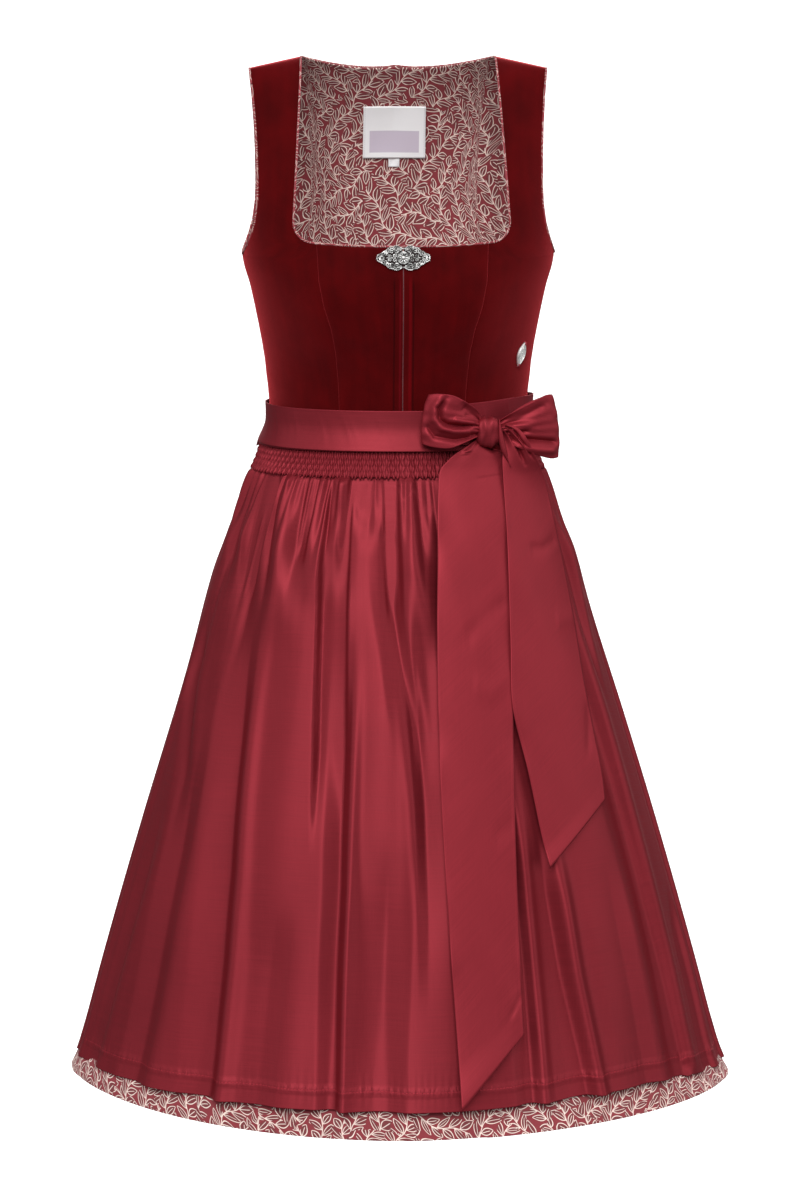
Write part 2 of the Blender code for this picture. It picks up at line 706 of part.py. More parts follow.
def make_smocking():
    """The smocked heading: pleats raised in its outer face over a plain inside."""
    bm = bmesh.new()
    heights = (SMOCK_FOOT, SMOCK_MIDDLE, SMOCK_TOP)
    outer = [smock_line(bm, height, smock_ridges(row)) for row, height in enumerate(heights)]
    plain = [SMOCK_INSIDE] * (SMOCK_INSIDE_COLUMNS + 1)
    inner = [smock_line(bm, height, plain) for height in (SMOCK_FOOT, SMOCK_TOP)]
    for low, high in (*zip(outer, outer[1:]), inner):
        for i in range(len(low) - 1):
            bm.faces.new((low[i], low[i + 1], high[i + 1], high[i]))
    bm.faces.new([*outer[-1], *reversed(inner[1])])
    bm.faces.new([*reversed(outer[0]), *inner[0]])
    bm.faces.new([inner[0][0], *(line[0] for line in outer), inner[1][0]])
    bm.faces.new([inner[1][-1], *(line[-1] for line in reversed(outer)), inner[0][-1]])
    bmesh.ops.recalc_face_normals(bm, faces=bm.faces)
    mesh = bpy.data.meshes.new("smocking")
    bm.to_mesh(mesh)
    bm.free()
    keep("apron_smocking", mesh, SATIN)


def waist_strip(start, end, strip):
    """A ribbon round the waist between two angles."""

    def surface(u, v):
        top = between(strip.top_start, strip.top_end, u)
        return on_form(top - strip.width * (1 - v), between(start, end, u), strip.lift)

    return surface


def make_band_and_ties():
    """The waistband and two ties. The first tie runs from the band's left end round the back and on
    across the front to the bow, the second from the right end round the back and forward to it."""
    band = waist_strip(-APRON_REACH, APRON_REACH, BAND)
    cloth("apron_waistband", band, 32, 2, RIBBON_WALL, SATIN)
    first = waist_strip(APRON_REACH + TIE_START, 360 + KNOT_ANGLE - TIE_STOP, FIRST_TIE)
    cloth("apron_tie_first", first, 46, 2, RIBBON_WALL, SATIN)
    second = waist_strip(KNOT_ANGLE + TIE_STOP, 360 - APRON_REACH - TIE_START, SECOND_TIE)
    cloth("apron_tie_second", second, 46, 2, RIBBON_WALL, SATIN)


def bow_frame():
    """Where the bow sits, and its directions: out along the band, lift away from it, and up."""
    lift = (level_normal(row_at(KNOT_HEIGHT), KNOT_ANGLE) + Vector((BOW_TURN, 0, 0))).normalized()
    place = on_form(KNOT_HEIGHT, KNOT_ANGLE, BOW_STAND)
    return place, Vector((-lift.y, lift.x, 0)), lift, Vector((0, 0, 1))


def ribbon_at(rows, share):
    """A ribbon's section at this share of the way through a table."""
    columns = np.array(rows)
    at = share * (len(rows) - 1)
    return Ribbon(*(float(np.interp(at, range(len(rows)), columns[:, k])) for k in range(4)))


def loop_surface(rows, direction):
    place, out, lift, up = bow_frame()

    def surface(u, v):
        section = ribbon_at(rows, u)
        crease = 0.0022 * math.cos(2.5 * math.pi * (2 * v - 1)) * math.sin(math.pi * u) ** 2
        across = (2 * v - 1) * section.spread
        return (
            place
            + out * direction * (section.out - 0.006 * abs(2 * v - 1) * math.sin(math.pi * u))
            + lift * (section.lift + crease * (1 if u < 0.5 else -0.3))
            + up * (section.rise + across)
        )

    return surface if direction < 0 else lambda u, v: surface(1 - u, v)


def make_bow():
    cloth("bow_loop_right", loop_surface(RIGHT_LOOP, -1), 16, 4, RIBBON_WALL, SATIN)
    cloth("bow_loop_left", loop_surface(LEFT_LOOP, 1), 16, 4, RIBBON_WALL, SATIN)
    place, out, lift, up = bow_frame()
    mesh = bpy.data.meshes.new("knot")
    bm = bmesh.new()
    bmesh.ops.create_uvsphere(bm, u_segments=12, v_segments=8, radius=1.0)
    for vertex in bm.verts:
        x, y, z = (signed_power(value, 0.7) for value in vertex.co)
        wrap = 1 + 0.05 * math.cos(9 * x)
        vertex.co = place + out * x * 0.0122 + lift * (0.0140 + 0.0088 * z * wrap) + up * (y * 0.0165 * wrap)
    bm.to_mesh(mesh)
    bm.free()
    mesh.shade_smooth()
    keep("bow_knot", mesh, SATIN)
    long_tail = tail_surface(LONG_TAIL, LONG_ROOT_LIFT, LONG_TAIL_LIFT)
    cloth("bow_tail_long", long_tail, 4, 16, RIBBON_WALL, SATIN)
    short_tail = tail_surface(SHORT_TAIL, SHORT_ROOT_LIFT, SHORT_TAIL_LIFT)
    cloth("bow_tail_short", short_tail, 4, 14, RIBBON_WALL, SATIN)


def tail_surface(rows, root_lift, low_lift):
    """A ribbon tail, hung over the apron's folds, narrow where it leaves the knot."""
    columns = np.array(rows)

    def surface(u, v):
        at = (1 - v) * (len(rows) - 1)
        edge = Tail(*(float(np.interp(at, range(len(rows)), columns[:, k])) for k in range(4)))
        x = between(edge.right_x, edge.left_x, u)
        z = between(edge.right_z, edge.left_z, u)
        lift = between(root_lift, low_lift, smooth_step(-z, *TAIL_SETTLES))
        angle = angle_at(z, x)
        for _ in range(3):
            angle = angle_at(z, x - level_normal(row_at(z), angle).x * lift)
        return on_form(z, angle, lift)

    return surface


def piping(name, points):
    """A thin corded edge along a closed line of points."""
    data = bpy.data.curves.new(name, "CURVE")
    data.dimensions = "3D"
    data.bevel_depth = PIPING_RADIUS
    data.bevel_resolution = 0
    spline = data.splines.new("POLY")
    spline.points.add(len(points) - 1)
    for spot, point in zip(spline.points, points):
        spot.co = (*point, 1.0)
    spline.use_cyclic_u = True
    keep(name, data, PRINT)


def beyond(surface, places, inward):
    """Points just past an edge of a panel. Each place is a (u, v) on that edge, and inward steps back."""
    points = [surface(u, v) for u, v in places]
    insides = [surface(u + inward[0], v + inward[1]) for u, v in places]
    moved = []
    for i, (point, inside) in enumerate(zip(points, insides)):
        along = (points[min(i + 1, len(points) - 1)] - points[max(i - 1, 0)]).normalized()
        away = point - inside
        away -= along * away.dot(along)
        moved.append(point + away.normalized() * (PIPING_RADIUS + PIPING_SPACE))
    return moved


def down_grid(count, first, last):
    """The lines of a grid with this many rows or columns, from the first to the last."""
    step = 1 if last >= first else -1
    return [line / count for line in range(first, last + step, step)]


def flipped(points):
    return [Vector((-p.x, p.y, p.z)) for p in points]


def neckline_half(side):
    """The edge from centre front over the shoulder to centre back."""
    centre = front_centre(side)
    across = down_grid(FRONT_COLUMNS, 0, FRONT_COLUMNS)
    if side < 0:
        across.reverse()
    line = beyond(centre, [(u, 1.0) for u in across], (0.0, -0.05))
    surface, rows = front_side(side)
    edge = 0.0 if side > 0 else 1.0
    corner_row = len(BODICE_ROWS) + 2
    up = [(edge, v) for v in down_grid(rows, corner_row, rows)]
    line += beyond(surface, up, (0.1 * side, 0.0))
    back = back_panel(back_centre_edge, WAIST_SEAM, 0.0)
    over = [(u, 1.0) for u in down_grid(BACK_COLUMNS, 4, BACK_COLUMNS)]
    behind = beyond(back, over, (0.0, -0.05))
    return line + (behind if side > 0 else flipped(behind))


def armhole_ring():
    """The left armhole's edge, up the front, down the back and round the underarm."""
    surface, rows = front_side(1)
    line = beyond(surface, [(1.0, v) for v in down_grid(rows, len(BODICE_ROWS) + 1, rows)], (-0.1, 0.0))
    back = back_panel(back_centre_edge, WAIST_SEAM, 0.0)
    seam_row = len(BODICE_ROWS) + len(BACK_ARM_ROWS)
    line += beyond(back, [(0.0, v) for v in down_grid(BACK_ROWS, BACK_ROWS - 1, seam_row)], (0.1, 0.0))
    surface, rows = back_side(1)
    line += beyond(surface, [(0.0, v) for v in down_grid(rows, rows, len(BODICE_ROWS) + 1)], (0.1, 0.0))
    return [*line, on_form(UNDERARM + 3 * PIPING_RADIUS, 90.0, -VELVET_WALL / 2)]


def make_piping():
    ring = neckline_half(1) + neckline_half(-1)[-2::-1]
    piping("neckline_piping", ring)
    hole = armhole_ring()
    piping("armhole_piping_left", hole)
    piping("armhole_piping_right", flipped(hole))


def flat_outline(name, outlines, thickness, finish, frame):
    """A plate cut from closed outlines, the first its edge and the rest its holes."""
    data = bpy.data.curves.new(name, "CURVE")
    data.dimensions = "2D"
    data.fill_mode = "BOTH"
    data.extrude = thickness / 2
    for outline in outlines:
        spline = data.splines.new("POLY")
        spline.points.add(len(outline) - 1)
        for spot, (x, y) in zip(spline.points, outline):
            spot.co = (x, y, 0.0, 1.0)
        spline.use_cyclic_u = True
    piece = keep(name, data, finish)
    piece.matrix_world = frame
    return piece


def face_frame(place, outward, tilt=0.0):
    """A frame on a surface, its Z pointing outward and its Y up the piece."""
    across = Vector((0, 0, 1)).cross(outward).normalized()
    up = outward.cross(across).normalized()
    turn = Matrix.Rotation(math.radians(-tilt), 4, "Z")
    return Matrix.Translation(place) @ Matrix((across, up, outward)).transposed().to_4x4() @ turn


def circle(x, y, radius, points=6):
    turns = [2 * math.pi * i / points for i in range(points)]
    return [(x + radius * math.cos(t), y + radius * math.sin(t)) for t in turns]


def make_clasp():
    outward = Vector((0, -1, 0))
    place = on_form(CLASP_HEIGHT, 0.0) + outward * (CLASP_LIFT + CLASP_PLATE / 2)
    frame = face_frame(place, outward)
    for side, name in ((1, "left"), (-1, "right")):
        edge = [(side * p.across, p.up) for p in CLASP_EDGE]
        edge += [(side * p.across, -p.up) for p in reversed(CLASP_EDGE[:-1])]
        centres = [(side * p.across, sign * p.up) for p in CLASP_HOLES for sign in (1, -1)]
        holes = [circle(x, y, CLASP_HOLE_RADIUS) for x, y in centres]
        flat_outline(f"clasp_{name}", [edge, *holes], CLASP_PLATE, SILVER, frame)
    boss = bpy.data.meshes.new("boss")
    bm = bmesh.new()
    bmesh.ops.create_cone(bm, segments=16, cap_ends=True, radius1=0.0052, radius2=0.0030, depth=0.0024)
    bm.transform(frame @ Matrix.Translation((0, 0, CLASP_PLATE / 2 + SEAM_GAP + 0.0012)))
    bm.to_mesh(boss)
    bm.free()
    keep("clasp_boss", boss, SILVER)


def make_tag():
    row = row_at(TAG_HEIGHT)
    outward = form_normal(row, TAG_ANGLE)
    place = form_point(row, TAG_ANGLE) + outward * (TAG_PLATE / 2 + 2 * SEAM_GAP)
    outline = []
    for side in (1, -1):
        for share in np.linspace(-1, 1, 10)[:-1]:
            outline.append((side * TAG_WIDTH / 2 * (1 - share**2), side * TAG_LENGTH / 2 * share))
    flat_outline("metal_tag", [outline], TAG_PLATE, SILVER, face_frame(place, outward, TAG_TILT))


def make_labels():
    lift = -LINING_INSET - PRINT_WALL - LABEL_SPACE

    def patch(width, top, foot):
        def surface(u, v):
            x = between(width / 2, -width / 2, u)
            height = level_for(between(foot, top, v), x)
            return on_form(height, angle_at(height, x, True) % 360, lift)

        return surface

    foot = LABEL_TOP - LABEL_DEPTH
    cloth("neck_label", patch(LABEL_WIDTH, LABEL_TOP, foot), 6, 4, LABEL_WALL, LABEL)
    tab_top = foot - SEAM_GAP
    cloth("size_tab", patch(SIZE_TAB_WIDTH, tab_top, tab_top - SIZE_TAB_DEPTH), 1, 1, LABEL_WALL, LABEL)


def main():
    for old in list(bpy.data.objects):
        bpy.data.objects.remove(old)
    bpy.context.scene.collection.children.link(bpy.data.collections.new("dirndl"))
    make_bodice()
    make_skirt()
    make_smocking()
    cloth("apron_panel", apron_surface, 3 * APRON_GATHERS, len(APRON_ROWS) - 1, SATIN_WALL, SATIN)
    make_band_and_ties()
    make_bow()
    make_piping()
    make_clasp()
    make_tag()
    make_labels()


main()
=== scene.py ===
"""The finished look of a dirndl: velvet bodice, printed skirt and satin apron, hollow as if worn.

Every piece of cloth is a surface on the form, worked out from two parameters, and given a thin wall.
A place on the form is a height and an angle: 0 degrees at centre front, 90 at the wearer's left.
"""

import json
import math

import bpy
import numpy as np
from bpy.props import FloatProperty, FloatVectorProperty, PointerProperty
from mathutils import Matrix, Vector

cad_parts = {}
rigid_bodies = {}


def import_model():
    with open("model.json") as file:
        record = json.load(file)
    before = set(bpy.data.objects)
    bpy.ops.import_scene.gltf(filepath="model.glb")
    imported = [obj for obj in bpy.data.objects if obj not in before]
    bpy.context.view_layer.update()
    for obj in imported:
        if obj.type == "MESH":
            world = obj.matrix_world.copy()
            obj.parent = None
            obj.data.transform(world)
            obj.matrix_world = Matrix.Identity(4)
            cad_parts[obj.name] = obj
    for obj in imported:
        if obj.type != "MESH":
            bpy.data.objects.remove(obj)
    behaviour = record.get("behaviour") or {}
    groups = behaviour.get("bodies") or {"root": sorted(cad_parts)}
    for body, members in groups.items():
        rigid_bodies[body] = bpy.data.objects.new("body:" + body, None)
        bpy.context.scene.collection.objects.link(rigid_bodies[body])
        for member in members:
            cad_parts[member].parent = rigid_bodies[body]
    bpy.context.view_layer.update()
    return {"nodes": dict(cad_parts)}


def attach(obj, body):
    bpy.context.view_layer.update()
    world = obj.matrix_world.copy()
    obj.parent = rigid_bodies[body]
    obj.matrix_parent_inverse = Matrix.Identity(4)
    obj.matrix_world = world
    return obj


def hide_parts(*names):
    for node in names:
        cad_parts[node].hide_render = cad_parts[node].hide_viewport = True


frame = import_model()

bl_info = {
    "name": "Dirndl",
    "version": (1, 0, 0),
    "blender": (4, 5, 0),
    "location": "View3D > Sidebar > Dirndl",
    "description": "Builds a dirndl with its apron, bow, clasp and studio stage",
    "category": "Object",
}


def metres(*rows):
    return np.array(rows) / 1000


# Bodice, in metres
NECK_HALF, SHOULDER_HALF, SHOULDER_EDGE, SHOULDER_SEAM = 0.094, 0.1418, -0.00012, 0.0003
SHOULDER_SLOPE, SLOPE_FOOT, SLOPE_TOP = 0.22, -0.2, -0.02
UNDERARM, WAIST_SEAM, LEVEL_FROM = -0.1885, -0.3525, -0.3225
BUST_X, BUST_HEIGHT, BUST_DEPTH, BUST_SPREAD, BUST_RISE = 0.07, -0.238, 0.01, 0.04, 0.045
NECK_FLOOR, NECK_FLOOR_RISE, BACK_NECK_DROP = -0.1775, 0.0035, 0.03
NECK_CORNER, NECK_CORNER_X, NECK_CORNER_Z = 0.02, 0.0835, -0.154
ZIP_SLIT, ZIP_TOP, ZIP_WALL, ZIP_HALF = 0.0005, -0.1855, 0.0008, 0.012
COIL_RADIUS, COIL_DEPTH, COIL_RINGS = 0.00095, 0.0012, 420
PLACKET, PLACKET_DEPTH, PLACKET_EDGE = 0.0072, 0.0007, 0.0012
LINING_INSET, LINING_FOOT = 0.0034, -0.35
CORD_SPACE, CORD_STEP, CORD_SIDES = 0.0008, 0.0016, 10
ROW_STEPS, BACK_STEPS, BACK_COLUMNS, NECK_SHARE = 7, 6, 40, 5 / 8
SIDES = ((1, "left"), (-1, "right"))

# Skirt: gathers at the waist seam that open into folds, and a hem that leans and swings out
SKIRT_HEM, SIDE_SEAM, SKIRT_EASE = -1.0015, 0.05, 0.0028
SKIRT_GATHERS, GATHERS_FROM, GATHERS_FULL = 34, 70.0, 112.0
SKIRT_FOLDS, FOLD_DEPTH, FOLD_UNEVEN, FOLD_START, FOLD_FULL = 13, 0.0105, 0.003, 0.38, 0.95
FOLD_DRIFT = ((0.016, 3, 0.0), (0.007, 7, 1.0))
HEM_LEAN, HEM_RISE, HEM_KICK, HEM_DIP = 0.008, 0.004, 0.0065, 0.0022

# Apron: how far it stands off, where its sides draw in to the skirt, and its smocked heading
APRON_TOP, APRON_HEM, APRON_SAG, APRON_REACH = -0.3947, -0.974, 0.014, 100.0
APRON_PILE, APRON_CLEARANCE, APRON_BACK_EASE = 0.0088, 0.003, 0.0022
APRON_SIDES, APRON_HUG = (45.0, 80.0), (91.0, 99.0)
FOLD_GAIN, GATHER_GAIN, GATHER_GROWTH, GATHER_DEGREES = 1.75, 2.1, 2.2, 7.4
SMOCK_TOP, SMOCK_FOOT, SMOCK_PLEATS, SMOCK_ROWS, SMOCK_WALL = -0.369, -0.3942, 128, 5, 0.0005
GATHER_HEAD = 0.0034

# What the gathered pieces were cut to, and their areas where they flare
SKIRT_BACK_CUT, SKIRT_BACK_AREA = (1.1, 0.68), 0.56
APRON_CUT, APRON_AREA = (1.05, 0.6), 0.54
SMOCKING_CUT = (0.74, 0.026)

# Ribbons round the waist: the top edge's heights at even steps along it, width and lift
BAND = ((-0.336, -0.336), 0.0345, 0.002)
FIRST_TIE = ((-0.3285, -0.3325), 0.038, 0.0036)
SECOND_TIE = ((-0.3262, -0.3222, -0.325, -0.328, -0.331, -0.334, -0.3375), 0.039, 0.0058)
TIE_START, TIE_STOP, TIE_UNDER, BAND_FLARE = 2.0, 9.0, 14.0, 0.0042

# Bow, trim and labels
KNOT_ANGLE, KNOT_HEIGHT, BOW_TURN, BOW_STAND, LOOP_LEAN = 36.5, -0.3545, -0.22, 0.0022, 0.045
CLASP_HEIGHT, CLASP_FACE, CLASP_STAND, CLASP_SIZE, WIRE = -0.187, 0.0009, 0.001, (0.92, 0.98), 0.00031
TAG_LENGTH, TAG_WIDTH, TAG_HEIGHT, TAG_ANGLE, TAG_TILT = 0.0235, 0.0125, -0.2815, 59.5, 14.0
LABEL_WIDTH, LABEL_DEPTH, LABEL_TOP = 0.0625, 0.052, -0.0465
SIZE_TAB_WIDTH, SIZE_TAB_DEPTH = 0.011, 0.009

# The form from the shoulder line to the hem: height, half width, front and back depth in
# millimetres, and the power of its section
FORM = np.array([
    (0, 156, 0, 0, 0.88), (-0.8, 156, 6, 8, 0.88), (-7, 156, 15, 22, 0.88),
    (-22, 155.8, 28, 41, 0.88), (-50, 155.5, 45, 61, 0.88), (-85, 155, 62, 76, 0.88),
    (-130, 154, 80, 86, 0.88), (-188.5, 150.7, 96, 89, 0.88), (-219, 143, 99.5, 86, 0.88),
    (-254.5, 135.6, 96.5, 81.5, 0.88), (-290.5, 129.5, 90, 76.5, 0.88), (-320, 126.2, 86, 73.5, 0.88),
    (-352.5, 125, 84.2, 72.5, 0.89), (-370, 129, 87.2, 76.2, 0.9), (-390, 135.2, 92.5, 83.5, 0.92),
    (-421.4, 148, 103, 95.5, 0.94), (-463.8, 162.5, 115, 110, 0.96), (-566.7, 193.5, 141, 137, 1.0),
    (-726.7, 243, 181, 179, 1.03), (-873.4, 286, 215, 213, 1.09), (-965, 312, 240, 236, 1.13),
    (-1001.5, 327, 250, 246, 1.15),
]) / (1000, 1000, 1000, 1000, 1)
SAMPLES_PER_LEVEL, NORMAL_ROWS, NORMAL_DEGREES = 24, 0.05, 0.5

# Seam lines as height and distance from the middle, in millimetres
FRONT_SEAM = metres(
    (-352.5, 59.2), (-308, 61.2), (-276, 64), (-254, 68.5), (-232, 75.5), (-208, 80), (-175, 81.5)
)
BACK_SEAM = metres((-352.5, 40), (-300, 44), (-250, 56), (-200, 80), (-160, 107), (-118, 135.2))
ARM_EDGE = metres(
    (-188.5, 150.7), (-180, 147), (-170, 143), (-155, 138.6), (-135, 135.8),
    (-115, 135.2), (-85, 135.6), (-55, 136.8), (-25, 139), (0, 141.8),
)

# Heights of rows, before each step is divided
BODICE_ROWS = (WAIST_SEAM, -0.322, -0.292, -0.262, -0.232, -0.204)
NECK_ROWS = (-0.171, -0.166, -0.16, -0.151, -0.12, -0.085, -0.05, -0.022, -0.006)
BACK_ARM_ROWS = (UNDERARM, -0.176, -0.162, -0.146, -0.132)
BACK_TOP_ROWS = (-0.105, -0.078, -0.052, -0.03, -0.014, -0.005, -0.0015, SHOULDER_EDGE)
SKIRT_ROWS = (SKIRT_HEM, -0.85, -0.7, -0.57, -0.48, -0.43, -0.4, -0.375, WAIST_SEAM - 0.0005)
APRON_ROWS = (APRON_HEM, -0.85, -0.72, -0.61, -0.53, -0.475, -0.44, -0.415, SMOCK_FOOT + 0.0025)

# Long folds of the apron: heights of the top and foot, the angles of its line from top to foot,
# depth and half width, and how much its right or left lip stands up. In millimetres
FOLDS = (
    (-520, -1020, (-16.6, -16.0, -15.5, -15.2, -15.6, -15.8, -16.2), 5.0, 5.2, 0.6),
    (-500, -1020, (-48.4, -46.9, -44.3, -41.5, -40.1, -39.8, -39.8), 5.4, 10.0, 0.8),
    (-520, -760, (-78, -74, -64, -62), 3.2, 9.0, 0.3), (-620, -1020, (-60, -57, -56, -57), 3.0, 12.0, 0.4),
    (-700, -1020, (-70, -72, -74), 2.6, 10.0, 0.3), (-780, -1020, (-28, -29, -30), 2.4, 13.0, 0.5),
    (-470, -700, (-5, -2, 1.2, 2.0), 4.6, 6.0, 0.6), (-500, -900, (1.5, 3.0, 4.0, 4.3, 4.0), 4.4, 7.0, -0.5),
    (-720, -1020, (-4.5, -5.5, -6.5, -7), 4.6, 17.0, 0.1), (-560, -780, (12, 13, 13), 2.4, 7.0, 0.3),
    (-640, -1020, (22.5, 24, 24.3, 24), 4.6, 6.0, 0.6), (-700, -1020, (30, 31, 32, 34, 35.5), 5.8, 9.0, 1.0),
    (-460, -980, (55, 57, 58.5, 59.5, 60.2, 60), 5.2, 10.5, 0.6),
    (-800, -1020, (74.5, 73.5, 71), 3.6, 9.0, 0.4),
    (-740, -1020, (47, 48, 49), 2.4, 12.0, 0.4), (-420, -640, (70, 68, 66), 3.2, 7.0, 0.4),
    (-480, -1020, (86, 84, 82), 4.0, 9.0, 0.4), (-480, -1020, (-88, -86, -85), 4.0, 9.0, 0.4),
)
# Gathers that run out of the smocking: the same without the top, which is at the smocking's foot
GATHERS_TOP = -394
GATHERS = (
    (-455, (-96, -95), 2.6, 3.6, 0.3), (-500, (-89, -88), 3.2, 4.2, 0.3), (-470, (-81, -80), 2.8, 3.8, 0.3),
    (-520, (-73.8, -73, -71), 3.4, 4.4, 0.4), (-460, (-68, -67.5), 2.4, 3.2, 0.2),
    (-540, (-63.2, -61, -58), 3.4, 4.4, 0.4), (-600, (-59, -56.5, -54, -53, -56), 4.0, 7.0, 0.4),
    (-450, (-56.5, -56), 2.2, 3.0, 0.2), (-560, (-51, -49, -46, -45), 3.8, 4.6, 0.5),
    (-470, (-45.2, -44.4), 2.6, 3.2, 0.3), (-445, (-41.6, -41.4), 2.0, 2.8, 0.2),
    (-530, (-38.5, -37, -36.5), 3.4, 4.2, 0.4), (-455, (-33.2, -32.8), 2.8, 3.2, 0.3),
    (-500, (-28.2, -29, -29.5), 3.6, 4.2, 0.4), (-460, (-23.8, -24.4), 3.0, 3.2, 0.3),
    (-520, (-18.0, -18.4, -18.2), 3.8, 4.4, -0.4), (-450, (-14.8, -15.0), 2.2, 2.8, 0.2),
    (-470, (-11.2, -11.6), 2.8, 3.2, 0.3), (-445, (-7.6, -7.6), 2.2, 2.8, 0.2),
    (-560, (-3.8, -5.2, -4.4, -2), 4.8, 4.8, 0.6), (-480, (0.6, 0.4), 3.4, 3.4, 0.3),
    (-530, (4.2, 5.4, 6.2), 3.8, 4.2, 0.4), (-455, (7.4, 7.8), 2.4, 2.8, 0.2),
    (-600, (9.8, 11.0, 11.8, 11.5), 4.4, 5.0, 0.5), (-470, (14.0, 14.6), 2.8, 3.2, 0.3),
    (-520, (19.0, 19.8), 3.2, 4.0, 0.3), (-470, (24.0, 24.6), 2.8, 3.4, 0.3),
    (-540, (29.5, 30.5), 3.2, 4.2, 0.3), (-460, (35.0, 35.4), 2.6, 3.4, 0.3),
    (-540, (41.0, 43.0), 3.2, 4.4, 0.3), (-470, (47.0, 48.0), 2.8, 3.6, 0.3),
    (-560, (53.0, 55.0), 3.4, 4.6, 0.4), (-480, (59.5, 60.5), 2.8, 3.6, 0.3),
    (-560, (66.0, 67.5), 3.4, 4.6, 0.4), (-480, (73.0, 74.0), 2.8, 3.8, 0.3),
    (-540, (80.0, 81.0), 3.2, 4.4, 0.3), (-480, (87.0, 87.5), 2.8, 3.8, 0.3),
    (-500, (94.0, 94.0), 3.0, 4.0, 0.3),
)
# Flat panels sunk between two edges: heights of the top and foot, the angles of the left and right
# edge from top to foot, how deep the middle lies and how much higher the right side is, in metres
PANELS = (
    (-0.385, -0.74, (-26.8, -26.4, -24.6, -22.6, -21.2), (-18.6, -17.6, -16.6, -15.6, -15), 0.0075, 0.005),
    (-0.38, -0.53, (-6.4, -5.4, -4.6), (-2.2, -1.4, -0.8), 0.0055, 0.002),
    (-0.38, -0.48, (-35.4, -35.8), (-32.4, -33.0), 0.004, -0.0015),
    (-0.385, -0.52, (-56.5, -57.0), (-52.6, -53.2), 0.0045, -0.002),
)
# Broad swells of the apron: height, angle, reach up and down in metres, reach round in degrees, lift
SWELLS = (
    (-0.64, -6.0, 0.12, 7.0, 0.005), (-0.51, -88.0, 0.13, 14.0, 0.0035),
    (-0.86, -13.0, 0.1, 2.4, 0.0035), (-0.7, -31.0, 0.26, 7.0, 0.004),
    (-0.86, 47.0, 0.14, 8.0, 0.0045), (-0.52, -44.0, 0.08, 5.0, 0.002),
    (-0.88, -50.0, 0.14, 6.0, 0.002), (-0.84, 11.0, 0.2, 8.0, 0.002),
)

# Bow loops, in millimetres: distance along the bow, lift off the band, rise and half width of each
# section
RIGHT_LOOP = metres(
    (8, 15, 6, 8), (15, 19.5, 9.8, 12.5), (26, 23, 11.8, 17.8), (44, 25, 13.5, 24.8), (59, 21.5, 15, 25.2),
    (66.5, 15, 15.5, 23.5), (62, 9, 14, 24), (46, 8.5, 11, 22.5), (29, 9, 8, 16.5), (9, 10, 4, 8),
)
LEFT_LOOP = metres(
    (8, 15, 3, 8.5), (16.5, 18.5, 4.2, 13), (26, 21.5, 4.6, 17.5), (45, 23, 5, 25.5), (60, 19.5, 5.5, 30.5),
    (68.5, 14, 5.5, 30), (62, 8.5, 5, 29), (44, 8.5, 4, 24), (27, 9, 3, 16.5), (9, 10, 1, 8),
)
# Creases of a loop's front: its line as (outward share, across from -1 to 1), depth and half width
# in millimetres. A positive depth is a ridge
RIGHT_LOOP_CREASES = (
    (
        ((0.85, 0.91), (0.91, 0.5), (0.88, 0.04), (0.77, -0.25), (0.59, -0.33), (0.43, -0.28), (0.2, -0.2)),
        4.6, 2.9,
    ),
    (((0.76, 0.85), (0.81, 0.45), (0.78, 0.06), (0.67, -0.1), (0.48, -0.15), (0.25, -0.06)), -5.0, 2.6),
    (((0.6, 0.12), (0.45, 0.06), (0.22, 0.04)), 2.6, 2.6),
    (((0.97, -0.1), (0.84, -0.58), (0.56, -0.66), (0.2, -0.45)), -3.8, 2.8),
    (((0.5, 0.62), (0.32, 0.42), (0.1, 0.25)), -3.4, 3.4),
    (((0.55, 0.92), (0.35, 0.75), (0.12, 0.5)), 2.4, 3.2),
    (((0.45, 0.3), (0.28, 0.2), (0.08, 0.12)), -2.4, 2.0),
    (((0.34, -0.42), (0.22, -0.34), (0.08, -0.22)), -3.0, 2.4),
)
LEFT_LOOP_CREASES = (
    (((0.1, -0.22), (0.42, -0.3), (0.72, -0.4), (1.0, -0.52)), -4.4, 2.6),
    (((0.3, -0.52), (0.65, -0.68), (1.0, -0.78)), 3.4, 3.6),
    (((0.06, 0.18), (0.35, 0.28), (0.62, 0.52), (0.85, 0.74)), -2.6, 3.4),
    (((0.06, 0.02), (0.3, 0.02), (0.6, 0.1)), 2.4, 3.2),
    (((0.06, -0.08), (0.32, -0.1), (0.55, -0.06)), -2.6, 2.2),
    (((0.06, 0.4), (0.3, 0.62), (0.5, 0.86)), 2.4, 3.0),
    (((0.1, -0.6), (0.35, -0.86)), -2.2, 2.6),
)
